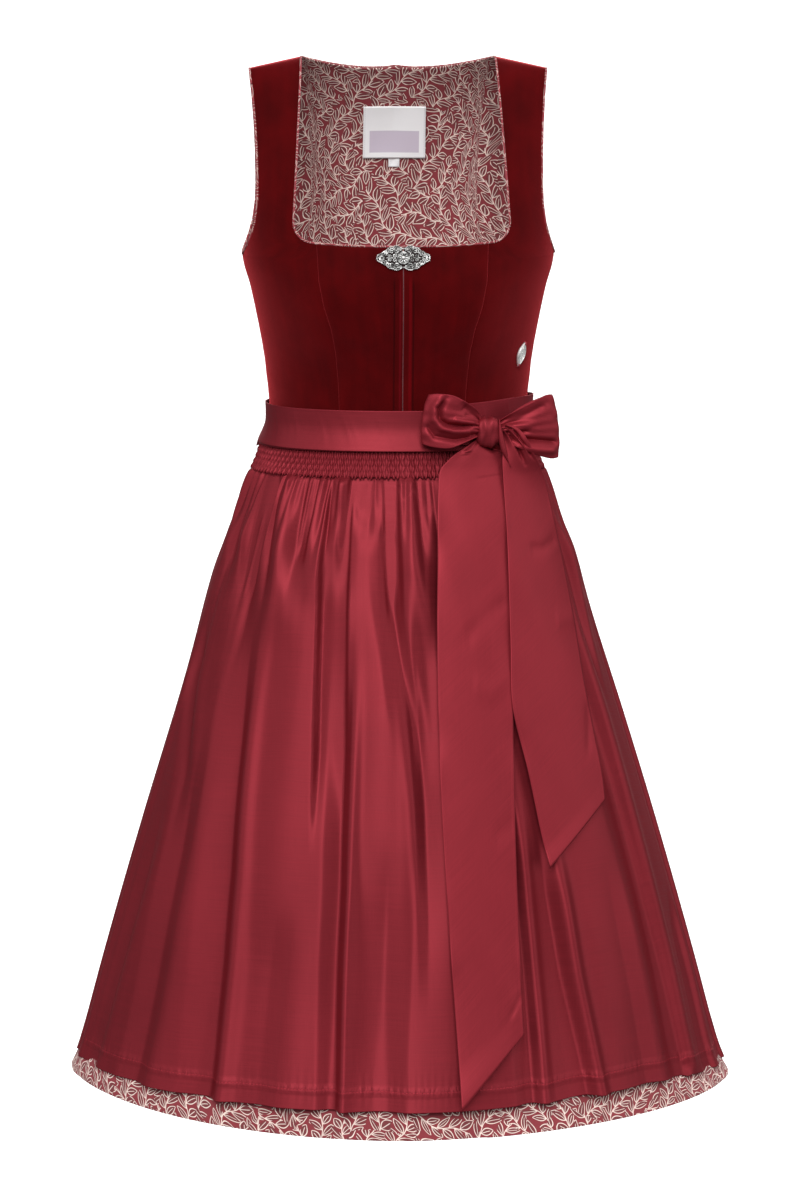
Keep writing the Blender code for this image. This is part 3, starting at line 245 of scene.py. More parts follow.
# Tails, in millimetres: x, height and lift of the right and the left edge as they run down
LONG_TAIL = metres(
    (70, -360, 12, 90, -360, 13), (60, -366, 14, 93.5, -365, 14.5),
    (50, -371.8, 15.5, 95.5, -372, 15), (41, -379.2, 15.5, 96.7, -380, 15),
    (34, -388.5, 15, 97.2, -390, 15), (32, -408.5, 15.2, 97.8, -405, 15.5),
    (31.2, -436, 16, 99, -426, 16.2), (30.4, -475, 17.8, 99.6, -465, 17.8),
    (29, -532, 19, 100.9, -522, 19), (29.1, -632, 19, 101.1, -617, 19),
    (32.3, -732, 19, 101.3, -712, 19), (38, -832, 19, 103.2, -802, 19),
    (43.1, -912, 19, 105.4, -872, 19), (46.3, -970, 19, 106.9, -907, 19),
)
SHORT_TAIL = metres(
    (93, -352, 20, 99.7, -344, 29.5), (94.5, -360, 20.5, 112.5, -350, 34.5),
    (95.5, -369, 20.5, 122.2, -360.5, 38.5), (94.8, -381, 20.2, 129.2, -376.5, 35),
    (95.5, -396, 19.6, 135.8, -394, 26.5), (96.5, -416, 19, 141.2, -413, 19.5),
    (97.8, -440, 19.4, 146.2, -436, 16.5), (98.5, -475, 20.4, 154.5, -475, 16),
    (99.5, -546.3, 21, 165, -531.3, 16), (100.6, -606.7, 20.8, 174.1, -591.7, 16.5),
    (114.8, -667, 18.5, 183.6, -642, 16.5), (127.2, -727.3, 17, 190.1, -677.3, 16.5),
    (135, -757, 16.5, 192.7, -703, 16.5),
)
# Creases of a tail: its line as (across from 0 to 1, down from 0 to 1), depth and half width
LONG_TAIL_CREASES = (
    (((0.46, 0.01), (0.6, 0.06), (0.78, 0.11), (0.95, 0.17)), -7.5, 8.0),
    (((0.12, 0.0), (0.16, 0.06), (0.22, 0.16)), 2.6, 6.0),
    (((0.7, 0.0), (0.8, 0.08), (0.94, 0.18)), 2.4, 4.0),
    (((0.95, 0.6), (0.6, 0.615), (0.35, 0.63)), -1.0, 5.0),
    (((1.0, 0.66), (0.7, 0.67), (0.45, 0.66)), 0.9, 4.0),
    (((0.98, 0.77), (0.7, 0.775)), -0.8, 4.0),
    (((0.95, 0.33), (0.55, 0.345)), -0.5, 5.0),
    (((0.99, 0.92), (0.8, 0.94)), -1.0, 3.0),
)
SHORT_TAIL_CREASES = (
    (((0.4, 0.0), (0.45, 0.12), (0.62, 0.28)), -3.4, 4.0),
    (((0.8, 0.02), (0.72, 0.14), (0.9, 0.26)), -2.6, 3.0),
    (((0.6, 0.0), (0.62, 0.1), (0.78, 0.22)), 2.4, 3.0),
    (((0.95, 0.55), (0.65, 0.565), (0.4, 0.56)), -1.2, 4.0),
    (((1.0, 0.67), (0.7, 0.66)), 1.0, 4.0),
    (((0.99, 0.78), (0.85, 0.86)), -0.9, 3.0),
)
# The fold under the knot: how far out along the bow its middle lies, from top to foot
FOLD_LINE = metres((7.8,), (8.6,), (10.2,), (13.0,), (18.2,))

# Half of the clasp's edge, its scrolls as centre, radius, start in degrees and turns, and its
# petals as centre, turn in degrees and radius. Lengths are in millimetres
CLASP_EDGE = metres(
    (0.6, 8.6), (4.5, 10.8), (8, 11.3), (11.8, 9.8), (14.8, 9.6), (17.4, 6.8), (20.3, 5.7), (22.8, 3.7),
    (25.8, 3.1), (27.2, 0),
)
CLASP_SCROLLS = (
    (7.2, 7.8, 3.0, 200, 1.35), (11.8, 6.4, 2.6, 150, -1.3), (9.0, 2.4, 2.4, 120, 1.2),
    (15.0, 6.2, 2.6, -60, 1.3), (13.8, 2.0, 2.0, 40, -1.25), (18.0, 3.6, 2.2, 170, -1.2),
    (21.2, 2.6, 1.9, 200, 1.15), (3.0, 7.8, 1.8, -20, 1.1), (23.5, 1.2, 1.3, 90, -1.1),
)
CLASP_PETALS = (
    (10.0, 9.8, 35, 1.4), (13.2, 8.4, -35, 1.2), (16.5, 7.8, -20, 1.1), (19.2, 5.6, -30, 1.1),
    (6.0, 5.2, 60, 1.2), (11.6, 0, 0, 1.3), (16.3, 0, 0, 1.3), (19.8, 0, 0, 1.1), (25.0, 0, 0, 1.3),
    (5.0, 9.2, 20, 1.1),
)

# The print, in millimetres: the stems' lean in radians and distance, a patch and how far it turns,
# the step between leaves up a stem, one leaf's stalk, length and half width, and half a drawn line
VINE_TURN, VINE_PITCH, SPRIG, SPRIG_TURN = 0.62, 22.0, 52.0, 3.4
LEAF_STEP, LEAF_STALK, LEAF_LENGTH, LEAF_HALF, LINE_HALF = 10.6, 1.0, 17.0, 3.5, 0.41
# Pitch of the print's and the label's threads, and of stitches on the apron's hem, a ribbon's edge
# and the label, in metres
PRINT_THREAD, LABEL_THREAD = 0.00055, 0.0004
HEM_STITCH, RIBBON_STITCH, LABEL_STITCH = 0.0034, 0.003, 0.0022
# Painted highlights and shades beside the zip, along the placket's fold edges: where, half a width, strength
# and colour
PLACKET_HIGHLIGHTS_AND_SHADES = (
    (0.0066, 0.0019, 0.6, (0.13, 0.0008, 0.003)), (0.0096, 0.0011, 0.7, (0.012, 0.0002, 0.0004)),
    (-0.003, 0.0012, 0.5, (0.12, 0.002, 0.006)), (-0.0086, 0.0012, 0.7, (0.012, 0.0002, 0.0004)),
)

# Studio: the camera's distance, height, the height it aims at and its turn, the lens and its shift
# in pixels of the picture, and the floor as distance from the middle and height
CAMERA_DISTANCE, CAMERA_HEIGHT, CAMERA_AIM, CAMERA_YAW = 3.8, 0.053, -0.527, 3.0
FOCAL_PIXELS, PICTURE_HEIGHT, SHIFT_PIXELS, SENSOR = 3925.0, 1200.0, 2.0, 36.0
FLOOR_DROP, FLOOR_SIDES = 0.8, 96
FLOOR_PROFILE = (
    (0.0004, 0), (4, 0), (20, 0), (34, 0.15), (40, 0.8), (44, 2), (46, 4), (50, 12), (60, 40)
)


# Shares and curves
def smooth_step(value, start, end):
    share = np.clip((value - start) / (end - start), 0.0, 1.0)
    return share * share * (3 - 2 * share)


def signed_power(value, power):
    return np.sign(value) * np.abs(value) ** power


def bump(value, centre, spread):
    return np.exp(-(((value - centre) / spread) ** 2))


def between(start, end, share):
    return start + (end - start) * share


def unit(vectors):
    return vectors / np.maximum(np.linalg.norm(vectors, axis=-1, keepdims=True), 1e-12)


def wobble(value, seed, octaves=4):
    """A smooth uneven wave from a few sines with set phases."""
    total = 0.0
    for k in range(octaves):
        total = total + np.sin(value * (1 + 0.73 * k) * 1.7 + seed * 2.39 + k * 1.91) / (1 + 0.6 * k)
    return total / 2.2


def from_rows(rows, v):
    return np.interp(v * (len(rows) - 1), np.arange(len(rows)), rows)


def fine_rows(rows, each):
    """Heights of a grid's rows, each step of a list divided evenly."""
    return from_rows(rows, np.linspace(0, 1, each * (len(rows) - 1) + 1))


def edged(steps, inset=0.0008):
    """The same steps with one more close to each end, so that smooth shading turns only there."""
    inset = math.copysign(inset, steps[1] - steps[0])
    return np.concatenate([steps[:1], steps[:1] + inset, steps[1:-1], steps[-1:] - inset, steps[-1:]])


def along_table(rows, share):
    """A table's columns at shares of its length, on a Catmull-Rom curve through its rows, padded by
    mirroring its ends."""
    table = np.array(rows)
    padded = np.vstack([2 * table[0] - table[1], table, 2 * table[-1] - table[-2]])
    at = np.clip(share, 0, 1) * (len(table) - 1)
    i = np.minimum(at.astype(int), len(table) - 2)
    s = (at - i)[..., None]
    before, start, end, after = (padded[i + k] for k in range(4))
    second = 2 * before - 5 * start + 4 * end - after
    third = 3 * start - before - 3 * end + after
    return np.moveaxis(0.5 * (2 * start + (end - before) * s + second * s**2 + third * s**3), -1, 0)


# The form as arrays
FINE_FORM = along_table(FORM, np.linspace(0, 1, SAMPLES_PER_LEVEL * (len(FORM) - 1) + 1))
FINE_ROWS = np.arange(FINE_FORM.shape[1]) / SAMPLES_PER_LEVEL


def row_at(height):
    return np.interp(-np.asarray(height, float), -FINE_FORM[0], FINE_ROWS)


def level_at(row):
    return [np.interp(row, FINE_ROWS, column) for column in FINE_FORM]


def shoulder_drop(x, height):
    """The shoulders slope down by a fifth of their distance from the neck."""
    return SHOULDER_SLOPE * (NECK_HALF - np.abs(x)) * smooth_step(height, SLOPE_FOOT, SLOPE_TOP)


def form_point(row, angle):
    """x is the half width times sine to a power, y the depth times cosine to it, with bust cups
    added in front."""
    height, half_width, front, back, power = level_at(row)
    turn = np.radians(angle)
    x = half_width * signed_power(np.sin(turn), power)
    cup = bump(np.abs(x), BUST_X, BUST_SPREAD) * bump(height, BUST_HEIGHT, BUST_RISE)
    depth = np.where(np.cos(turn) >= 0, front + BUST_DEPTH * cup, back)
    y = -depth * signed_power(np.cos(turn), power)
    return np.stack(np.broadcast_arrays(x, y, height + shoulder_drop(x, height)), axis=-1)


def form_normal(row, angle):
    up = form_point(np.maximum(0.0, row - NORMAL_ROWS), angle) - form_point(row + NORMAL_ROWS, angle)
    along = form_point(row, angle + NORMAL_DEGREES) - form_point(row, angle - NORMAL_DEGREES)
    return unit(np.cross(along, up))


def level_normal(row, angle):
    return unit(form_normal(row, angle) * (1.0, 1.0, 0.0))


def on_form(height, angle, lift=0.0):
    """A point off the form, square to it on the bodice and level from the waist down."""
    height, angle, lift = np.broadcast_arrays(np.asarray(height, float), angle, lift)
    row = row_at(height)
    full = form_normal(row, angle)
    away = np.where((height > LEVEL_FROM)[..., None], full, unit(full * (1.0, 1.0, 0.0)))
    return form_point(row, angle) + away * lift[..., None]


def angle_at(height, x, behind=False):
    """The angle at which the section of this height has this x."""
    _, half_width, _, _, power = level_at(row_at(height))
    share = np.minimum(1.0, np.abs(x) / half_width)
    angle = np.degrees(np.arcsin(share ** (1 / power)))
    return np.copysign(180 - angle if behind else angle, x)


def level_for(z, x):
    """The form's level whose surface has this true height at this distance from the middle."""
    height = z
    for _ in range(4):
        height = z - shoulder_drop(x, height)
    return height


def from_front(angle):
    """Degrees from centre front, whichever way round is shorter."""
    turned = np.abs(angle) % 360
    return np.minimum(turned, 360 - turned)


def degrees_of(height, millimetres):
    """The angle that a distance round the front of the form takes at this height."""
    _, half_width, front, _, _ = level_at(row_at(height))
    return millimetres / 1000 / ((half_width + front) / 2 * math.pi / 180)


def edge_at(table, height):
    return np.interp(height, table[:, 0], table[:, 1])


def arm_edge(height):
    half_width = level_at(row_at(height))[1]
    return np.where(height <= UNDERARM, half_width, edge_at(ARM_EDGE, height))


def back_centre_edge(height):
    return np.where(height < BACK_SEAM[-1][0], edge_at(BACK_SEAM, height), arm_edge(height))


def neck_floor(x):
    over = np.abs(x) - NECK_CORNER_X
    flat = NECK_FLOOR + NECK_FLOOR_RISE * (x / NECK_CORNER_X) ** 2
    return np.where(over <= 0, flat, NECK_CORNER_Z - np.sqrt(np.maximum(0, NECK_CORNER**2 - over**2)))


def neck_side(height):
    corner = NECK_CORNER_X + NECK_CORNER
    straight = corner + (NECK_HALF - corner) * (1 - height / NECK_CORNER_Z)
    drop = np.clip(NECK_CORNER_Z - height, 0.0, NECK_CORNER)
    return np.where(height >= NECK_CORNER_Z, straight, NECK_CORNER_X + np.sqrt(NECK_CORNER**2 - drop**2))


def back_neck(x):
    return -BACK_NECK_DROP * np.maximum(0.0, 1 - np.abs(x / NECK_HALF) ** 1.6)


# Grids and meshes
def grid(columns, rows):
    """Shares across and up, from 0 to 1, as two arrays of rows + 1 by columns + 1."""
    return np.meshgrid(np.linspace(0, 1, columns + 1), np.linspace(0, 1, rows + 1))


def round_turn(count):
    return np.linspace(0, 2 * np.pi, count, endpoint=False)


def lengths(points, axis):
    """Distance run along each row (axis 1) or column (axis 0) of a grid of points."""
    steps = np.linalg.norm(np.diff(points, axis=axis), axis=-1)
    start = np.zeros_like(np.take(steps, [0], axis=axis))
    return np.concatenate([start, np.cumsum(steps, axis=axis)], axis=axis)


def grid_faces(rows, columns, across=False, up=False):
    """Corners of a grid's faces, with across or up set where the grid closes on itself."""
    c, r = np.meshgrid(np.arange(columns if across else columns - 1), np.arange(rows if up else rows - 1))
    c2, r2 = (c + 1) % columns, (r + 1) % rows
    corners = [r * columns + c, r * columns + c2, r2 * columns + c2, r2 * columns + c]
    return np.stack(corners, axis=-1).reshape(-1, 4)


def fill_mesh(name, points, faces, maps=()):
    """A mesh from points, faces of four corners and UV maps given per point. A face whose last two
    corners are one point has three sides."""
    used = np.ones(faces.shape, bool)
    used[:, 3] = faces[:, 3] != faces[:, 2]
    corners = faces[used].astype(np.int32)
    sides = used.sum(1)
    mesh = bpy.data.meshes.new(name)
    mesh.vertices.add(len(points))
    mesh.vertices.foreach_set("co", points.astype(np.float32).ravel())
    mesh.loops.add(len(corners))
    mesh.loops.foreach_set("vertex_index", corners)
    mesh.polygons.add(len(faces))
    mesh.polygons.foreach_set("loop_start", (np.cumsum(sides) - sides).astype(np.int32))
    mesh.update(calc_edges=True)
    for title, values in maps:
        layer = mesh.uv_layers.new(name=title)
        layer.data.foreach_set("uv", values[corners].astype(np.float32).ravel())
    mesh.validate()
    mesh.shade_smooth()
    return mesh


def add_object(name, data):
    made = bpy.data.objects.new(name, data)
    bpy.context.scene.collection.objects.link(made)
    return made


def dress(name, mesh, finish_names, nodes):
    """A piece of the dress from its mesh, with its finishes and replaced nodes."""
    piece = add_object(name, mesh)
    for finish_name in finish_names:
        mesh.materials.append(finish(finish_name))
    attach(piece, "root")
    if nodes:
        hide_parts(*nodes)
    return piece


def cut_size(points):
    """The longest row, the longest column and the area of an ungathered piece, in metres."""
    across, up = lengths(points, 1), lengths(points, 0)
    a = points[1:, 1:] - points[:-1, :-1]
    b = points[1:, :-1] - points[:-1, 1:]
    area = 0.5 * np.linalg.norm(np.cross(a, b), axis=-1).sum()
    flat = float(across[:, -1].max()), float(up[-1].max())
    return flat, min(float(area), flat[0] * flat[1])


def cloth(name, node, points, wall, finish_names, slot, rests_on, held="stretched", ribbon=False, cut=None):
    """A grid of points as a wall of cloth. Its maps hold metres along the cloth, the distances to
    its nearer side edge and up from its foot, and for a ribbon the distance to its nearer long
    edge and the run along it. A second finish goes on the wrong side. The cut is the flat size and
    the area of a gathered piece."""
    across, up = lengths(points, 1), lengths(points, 0)
    side = np.minimum(across, across[:, -1:] - across)
    edge, run = (np.minimum(up, up[-1:] - up), across) if ribbon else (side, up)
    pairs = (
        ("cloth", across - across[:, [points.shape[1] // 2]], up), ("rim", side, up), ("ribbon", edge, run)
    )
    maps = [(title, np.stack([a, b], axis=-1).reshape(-1, 2)) for title, a, b in pairs]
    mesh = fill_mesh(name, points.reshape(-1, 3), grid_faces(*points.shape[:2]), maps)
    piece = dress(name, mesh, finish_names, [node])
    shell = piece.modifiers.new("Wall", "SOLIDIFY")
    shell.thickness = wall
    shell.offset = -1.0
    shell.material_offset = len(finish_names) - 1
    flat, area = cut or cut_size(points)


def capped(rings, first=None, last=None):
    """Rings of points joined in turn and closed at both ends by a fan round a point."""
    count, sides = rings.shape[:2]
    first = rings[0].mean(0) if first is None else first
    last = rings[-1].mean(0) if last is None else last
    points = np.vstack([rings.reshape(-1, 3), [first, last]])
    k = np.arange(sides)
    after, end = (k + 1) % sides, (count - 1) * sides
    tip = np.stack([np.full(sides, count * sides), after, k, k], -1)
    tail = np.stack([np.full(sides, count * sides + 1), end + k, end + after, end + after], -1)
    return points, np.vstack([grid_faces(count, sides, across=True), tip, tail])


def tube(path, radius, sides=8, closed=False):
    """A round profile carried along a path: each ring is the path's point plus radius times
    cosine and sine round two directions square to it. Returns points and faces."""
    path = np.asarray(path, float)
    ahead = np.roll(path, -1, 0) - np.roll(path, 1, 0)
    if not closed:
        ahead[0], ahead[-1] = path[1] - path[0], path[-1] - path[-2]
    ahead = unit(ahead)
    guide = np.tile([0.0, 0.0, 1.0], (len(path), 1))
    guide[np.abs(ahead[:, 2]) > 0.9] = [0.0, 1.0, 0.0]
    first = unit(np.cross(guide, ahead))
    second = np.cross(ahead, first)
    turn = round_turn(sides)[None, :, None]
    radius = np.broadcast_to(np.asarray(radius, float), (len(path),))[:, None, None]
    rings = path[:, None] + radius * (np.cos(turn) * first[:, None] + np.sin(turn) * second[:, None])
    if closed:
        return rings.reshape(-1, 3), grid_faces(len(path), sides, across=True, up=True)
    return capped(rings, path[0], path[-1])


def solid_piece(name, parts, finish_name, nodes=()):
    """Closed parts joined in one mesh, turned round if they enclose less than nothing."""
    starts = np.cumsum([0] + [len(points) for points, _ in parts])
    points = np.vstack([points for points, _ in parts])
    faces = np.vstack([faces + start for (_, faces), start in zip(parts, starts)])
    mesh = fill_mesh(name, points, faces)
    a, b, c, d = np.moveaxis(points[faces] - points.mean(0), 1, 0)
    if (np.cross(a, b) * c + np.cross(a, c) * d).sum() < 0:
        mesh.flip_normals()
    dress(name, mesh, [finish_name], nodes)


def near_line(x, y, line):
    """Distance from each point of two arrays to a line of joined points, and how far along it."""
    best = np.full(np.shape(x), np.inf)
    along = np.zeros(np.shape(x))
    for k, ((ax, ay), (bx, by)) in enumerate(zip(line, line[1:])):
        dx, dy = bx - ax, by - ay
        share = np.clip(((x - ax) * dx + (y - ay) * dy) / (dx * dx + dy * dy), 0, 1)
        away = np.hypot(x - ax - share * dx, y - ay - share * dy)
        closer = away < best
        best = np.where(closer, away, best)
        along = np.where(closer, (k + share) / (len(line) - 1), along)
    return best, along


def evenly(points, step):
    """A line of points with the same distance between each and the next."""
    run = np.concatenate([[0], np.cumsum(np.linalg.norm(np.diff(points, axis=0), axis=1))])
    at = np.linspace(0, run[-1], max(3, int(run[-1] / step)))
    return np.stack([np.interp(at, run, points[:, k]) for k in range(3)], axis=-1)


def smoothed(points, times, closed=False):
    """The line with each point moved to the mean of itself and its two neighbours."""
    for _ in range(times):
        moved = (np.roll(points, 1, 0) + 2 * points + np.roll(points, -1, 0)) / 4
        if not closed:
            moved[[0, -1]] = points[[0, -1]]
        points = moved
    return points


# Finishes
class Wire:
    """A node's output that takes plain arithmetic, each sign adding a Math node."""

    def __init__(self, look, socket):
        self.look, self.socket = look, socket

    def __add__(self, other):
        return self.look.math("ADD", self, other)

    def __sub__(self, other):
        return self.look.math("SUBTRACT", self, other)

    def __rsub__(self, other):
        return self.look.math("SUBTRACT", other, self)

    def __mul__(self, other):
        return self.look.math("MULTIPLY", self, other)

    def __truediv__(self, other):
        return self.look.math("DIVIDE", self, other)

    def __abs__(self):
        return self.look.math("ABSOLUTE", self)


class Look:
    """Short names for wiring one material's nodes."""

    def __init__(self, name, roughness, metallic=0.0, **sockets):
        self.made = bpy.data.materials.new(name)
        self.made.use_nodes = True
        self.nodes, self.links = self.made.node_tree.nodes, self.made.node_tree.links
        self.shader = self.nodes["Principled BSDF"]
        for socket, value in {"Roughness": roughness, "Metallic": metallic, **sockets}.items():
            self.put(self.shader.inputs[socket.replace("_", " ")], value)

    def put(self, socket, value):
        """Sets an input from a number, a colour or another node's output."""
        if isinstance(value, Wire):
            self.links.new(value.socket, socket)
        elif isinstance(value, tuple) and len(value) == 3 and socket.type == "RGBA":
            socket.default_value = (*value, 1.0)
        else:
            socket.default_value = value

    def add(self, kind, *values, **named):
        """A node's outputs. Values fill its inputs in order, a name with a capital is one input, and
        any other name is a setting."""
        node = self.nodes.new("ShaderNode" + kind)
        for name, value in named.items():
            if name[0].islower():
                setattr(node, name, value)
        inputs = [*zip(node.inputs, values)]
        inputs += [(node.inputs[n], v) for n, v in named.items() if n[0].isupper()]
        for socket, value in inputs:
            if value is not None:
                self.put(socket, value)
        return [Wire(self, output) for output in node.outputs]

    def math(self, operation, *values):
        return self.add("Math", *values, operation=operation)[0]

    def sine(self, value):
        return self.math("SINE", value)

    def ramp(self, value, low, high, first=0.0, last=1.0):
        """first below low, last above high, and a smooth step between."""
        return self.add("MapRange", value, low, high, first, last, interpolation_type="SMOOTHSTEP")[0]

    def within(self, value, low, high, most=1.0):
        """most below low and nothing above high."""
        return self.ramp(value, low, high, most, 0.0)

    def mix(self, share, a, b):
        return self.add("Mix", share, *[None] * 5, a, b, data_type="RGBA")[2]

    def shades(self, value, low, high, colour, dark, light):
        """A colour made darker below low and lighter above high."""
        return self.mix(self.ramp(value, low, high), tinted(colour, dark), tinted(colour, light))

    def map(self, title):
        """The two numbers of one of the piece's UV maps."""
        return self.add("SeparateXYZ", self.add("UVMap", uv_map=title)[0])[:2]

    def pair(self, x, y, z=0.0):
        return self.add("CombineXYZ", x, y, z)[0]

    def place(self):
        return Wire(self, self.nodes.new("ShaderNodeTexCoord").outputs["Object"])

    def noise(self, vector, scale, detail=3.0, rough=0.5):
        return self.add("TexNoise", Vector=vector, Scale=scale, Detail=detail, Roughness=rough)[0]

    def streaks(self, u, v, across, along, detail, rough=0.5):
        """Noise drawn out one way, from its scales across and along."""
        return self.noise(self.pair(u * across, v * along), 1.0, detail, rough)

    def bump(self, height, distance, strength=1.0, under=None):
        return self.add("Bump", Strength=strength, Distance=distance, Height=height, Normal=under)[0]

    def weave(self, u, v, pitch, depth):
        """Threads over and under, as a sine each way."""
        turns = 2 * math.pi / pitch
        return self.bump(self.sine(u * turns) * self.sine(v * turns), depth, 0.5)

    def stitches(self, away, along, at, pitch):
        """1 on the threads of a row of stitches at this distance from an edge."""
        beat = self.math("FRACT", along / pitch)
        return self.within(abs(away - at), 0.0002, 0.0005) * self.within(abs(beat - 0.5), 0.3, 0.42)

    def finish(self, colour, normal=None, roughness=None):
        for socket, value in (("Base Color", colour), ("Normal", normal), ("Roughness", roughness)):
            if value is not None:
                self.put(self.shader.inputs[socket], value)


def tinted(colour, times):
    return tuple(min(1.0, times * c) for c in colour)


def velvet(name, colour, lines=()):
    """Cotton velvet: a short pile that lies in soft patches and catches light at its edges, with a painted
    sheen along its seams. Lines painted lighter and darker beside the zip, below the clasp, are painted
    highlights and shades of the placket's fold edges."""
    look = Look(name, 0.7, Sheen_Weight=0.75, Sheen_Roughness=0.5, Specular_IOR_Level=0.02)
    look.put(look.shader.inputs["Sheen Tint"], (1.0, 0.09, 0.11))
    u, v = look.map("cloth")
    patches = look.noise(look.pair(u, v), 26.0, 3.0, 0.55)
    pile = look.noise(look.pair(u, v), 2600.0, 2.0, 0.7)
    shade = patches * 0.55 + look.streaks(u, v, 90.0, 7.0, 2.0) * 0.35 + pile * 0.3
    tone = look.shades(shade, 0.35, 0.85, colour, 0.62, 1.42)
    # Painted sheen: a lighter red mixed in along each panel's side edges, the highlight a seam's turned pile
    # would catch
    seam = look.within(look.map("rim")[0], 0.0001, 0.0009, 0.03)
    tone = look.mix(seam, tone, (0.15, 0.014, 0.018))
    if lines:
        x, _, height = look.add("SeparateXYZ", look.place())
        below = look.within(height, -0.215, -0.2)
        # Each line mixes in a painted highlight or a painted shade of the placket's folds
        for at, half, share, paint in lines:
            tone = look.mix(look.within(abs(x - at), 0.4 * half, half, share) * below, tone, paint)
    look.finish(tone, look.bump(patches, 0.0009, 0.35, look.bump(pile, 0.00022, 0.55)))


def satin(name, colour, hem=0.0, ribbon_hem=0.0, mapped=True, brushed=0.55):
    """Satin-faced taffeta: fine warp lines, faint slubs across, a sewn hem where it has one."""
    look = Look(
        name, 0.5, 0.5, Specular_IOR_Level=0.35, Anisotropic=brushed, Anisotropic_Rotation=0.25,
        Specular_Tint=(0.9, 0.42, 0.45),
    )
    if mapped:
        u, v = look.map("cloth")
    else:
        x, y, v = look.add("SeparateXYZ", look.place())
        u = x - y
    slubs = look.streaks(u, v, 22.0, 900.0, 3.0, 0.6)
    warp = look.streaks(u, v, 1500.0, 30.0, 1.0)
    shade = slubs * 0.5 + warp * 0.16 + look.noise(look.pair(u, v), 9.0, 2.0) * 0.34
    tone = look.shades(shade, 0.34, 0.66, colour, 0.9, 1.1)
    relief = look.bump(warp, 0.00006, 0.35, look.bump(slubs, 0.00008, 0.35))
    if hem:
        up = look.map("rim")[1]
        thread = look.stitches(up, u, hem, HEM_STITCH)
        tone = look.mix(thread * 0.55, tone, tinted(colour, 2.1))
        pucker = look.streaks(u, v, 210.0, 60.0, 2.0) * look.within(abs(up - hem), 0.0008, 0.0065)
        relief = look.bump(pucker, 0.0016, 0.75, relief)
        relief = look.bump(look.within(up, hem - 0.0012, hem), 0.0006, 0.8, relief)
        relief = look.bump(thread, 0.0004, 0.8, relief)
    if ribbon_hem:
        edge, run = look.map("ribbon")
        thread = look.stitches(edge, run, ribbon_hem, RIBBON_STITCH)
        tone = look.mix(thread * 0.15, tone, tinted(colour, 1.6))
        relief = look.bump(look.within(edge, ribbon_hem - 0.001, ribbon_hem + 0.001), 0.0001, 0.3, relief)
    look.finish(tone, relief, look.ramp(slubs, 0.3, 0.7, 0.47, 0.55))


def vines(look, u, v):
    """Leaves in pairs up winding stems. From metres of cloth, it gives where the drawn lines are
    and where a leaf covers the ground. Each leaf is a lens between two parabolas set at 45 degrees
    to the stem, with its own size and lean."""
    # millimetres, sheared to and fro so that stems wind, then each patch turned its own way
    y = v * 1000.0
    x = look.sine(y * (1 / 23) + VINE_TURN) * 6.5 + u * 1000.0
    y = look.sine(x * (1 / 27)) * 7.0 + y
    patch = look.add("TexVoronoi", Vector=look.pair(x, y), Scale=1 / SPRIG, voronoi_dimensions="2D")[1]
    spin, shift, _ = look.add("SeparateXYZ", patch)
    x = look.sine(y * (1 / 11)) * 2.2 + (shift * 31.0 + x)
    turn = (spin - 0.5) * SPRIG_TURN + VINE_TURN
    cos, sin = look.math("COSINE", turn), look.sine(turn)
    x, y = x * cos - y * sin, x * sin + y * cos
    # columns of stems
    column = look.math("FLOOR", x / VINE_PITCH)
    across = x - column * VINE_PITCH - VINE_PITCH / 2
    up = look.add("TexWhiteNoise", W=column, noise_dimensions="1D")[0] * 47.0 + y
    across = across - look.sine(up * (2 * math.pi / 37)) * 2.2
    out, side = abs(across), look.math("GREATER_THAN", across, 0.0)
    # one leaf: along it from the stem, and square to its middle line
    sheared = side * (LEAF_STEP / 2) + up - out
    number = look.math("FLOOR", sheared / LEAF_STEP)
    half = math.sqrt(0.5)
    square = (sheared - (number + 0.5) * LEAF_STEP) * half
    along = out * (2 * half) + square
    draw = look.add("TexWhiteNoise", Vector=look.pair(number, column, side), noise_dimensions="3D")[1]
    large, lean, curl = look.add("SeparateXYZ", draw)
    size = large * 0.34 + 0.76
    share = (along - LEAF_STALK) / (size * LEAF_LENGTH)
    bow = share * (1.0 - share)
    square = (curl - 0.5) * 4.5 * bow + (square + (lean - 0.5) * 0.34 * along)
    off = abs(square)
    rim = off - bow * (4.0 * LEAF_HALF) * size
    ends = look.ramp(share, -0.01, 0.02) * look.within(share, 0.98, 1.01)
    pen = (LINE_HALF * 0.6, LINE_HALF * 1.35)
    vein = look.within(off, LINE_HALF * 0.35, LINE_HALF * 0.95)
    vein = vein * (look.ramp(share, -0.5, -0.45) * look.within(share, 0.7, 0.8))
    line = look.math("MAXIMUM", look.within(abs(rim), *pen) * ends, vein)
    return look.math("MAXIMUM", line, look.within(out, *pen)), look.within(rim, -0.05, 0.05) * ends


def leaf_print(name, ground, shade, line_colour):
    """Printed cotton: outlined leaves on a wine ground, on a plain weave."""
    look = Look(name, 0.8, Sheen_Weight=0.08, Sheen_Roughness=0.5, Specular_IOR_Level=0.25)
    u, v = look.map("cloth")
    line, leaf = vines(look, u, v)
    tone = look.mix(line * 0.92, look.mix(leaf, ground, shade), line_colour)
    cloud = look.noise(look.pair(u, v), 30.0)
    tone = look.mix(look.ramp(cloud, 0.3, 0.75, 0.0, 0.16), tone, (0.1, 0.03, 0.03))
    look.finish(tone, look.bump(cloud, 0.0006, 0.3, look.weave(u, v, PRINT_THREAD, 0.00008)))


def silver(name, colour, tarnish):
    """Antique silver: bright where it is rubbed, dark in the hollows of a fine noise."""
    look = Look(name, 0.34, 0.62)
    spots = look.noise(look.place(), 260.0, 3.0, 0.6)
    tone = look.mix(look.ramp(spots, 0.35, 0.62), tarnish, colour)
    grain = look.bump(look.noise(look.place(), 900.0, 4.0, 0.65), 0.00012, 0.5)
    look.finish(tone, grain, look.ramp(spots, 0.35, 0.7, 0.46, 0.24))


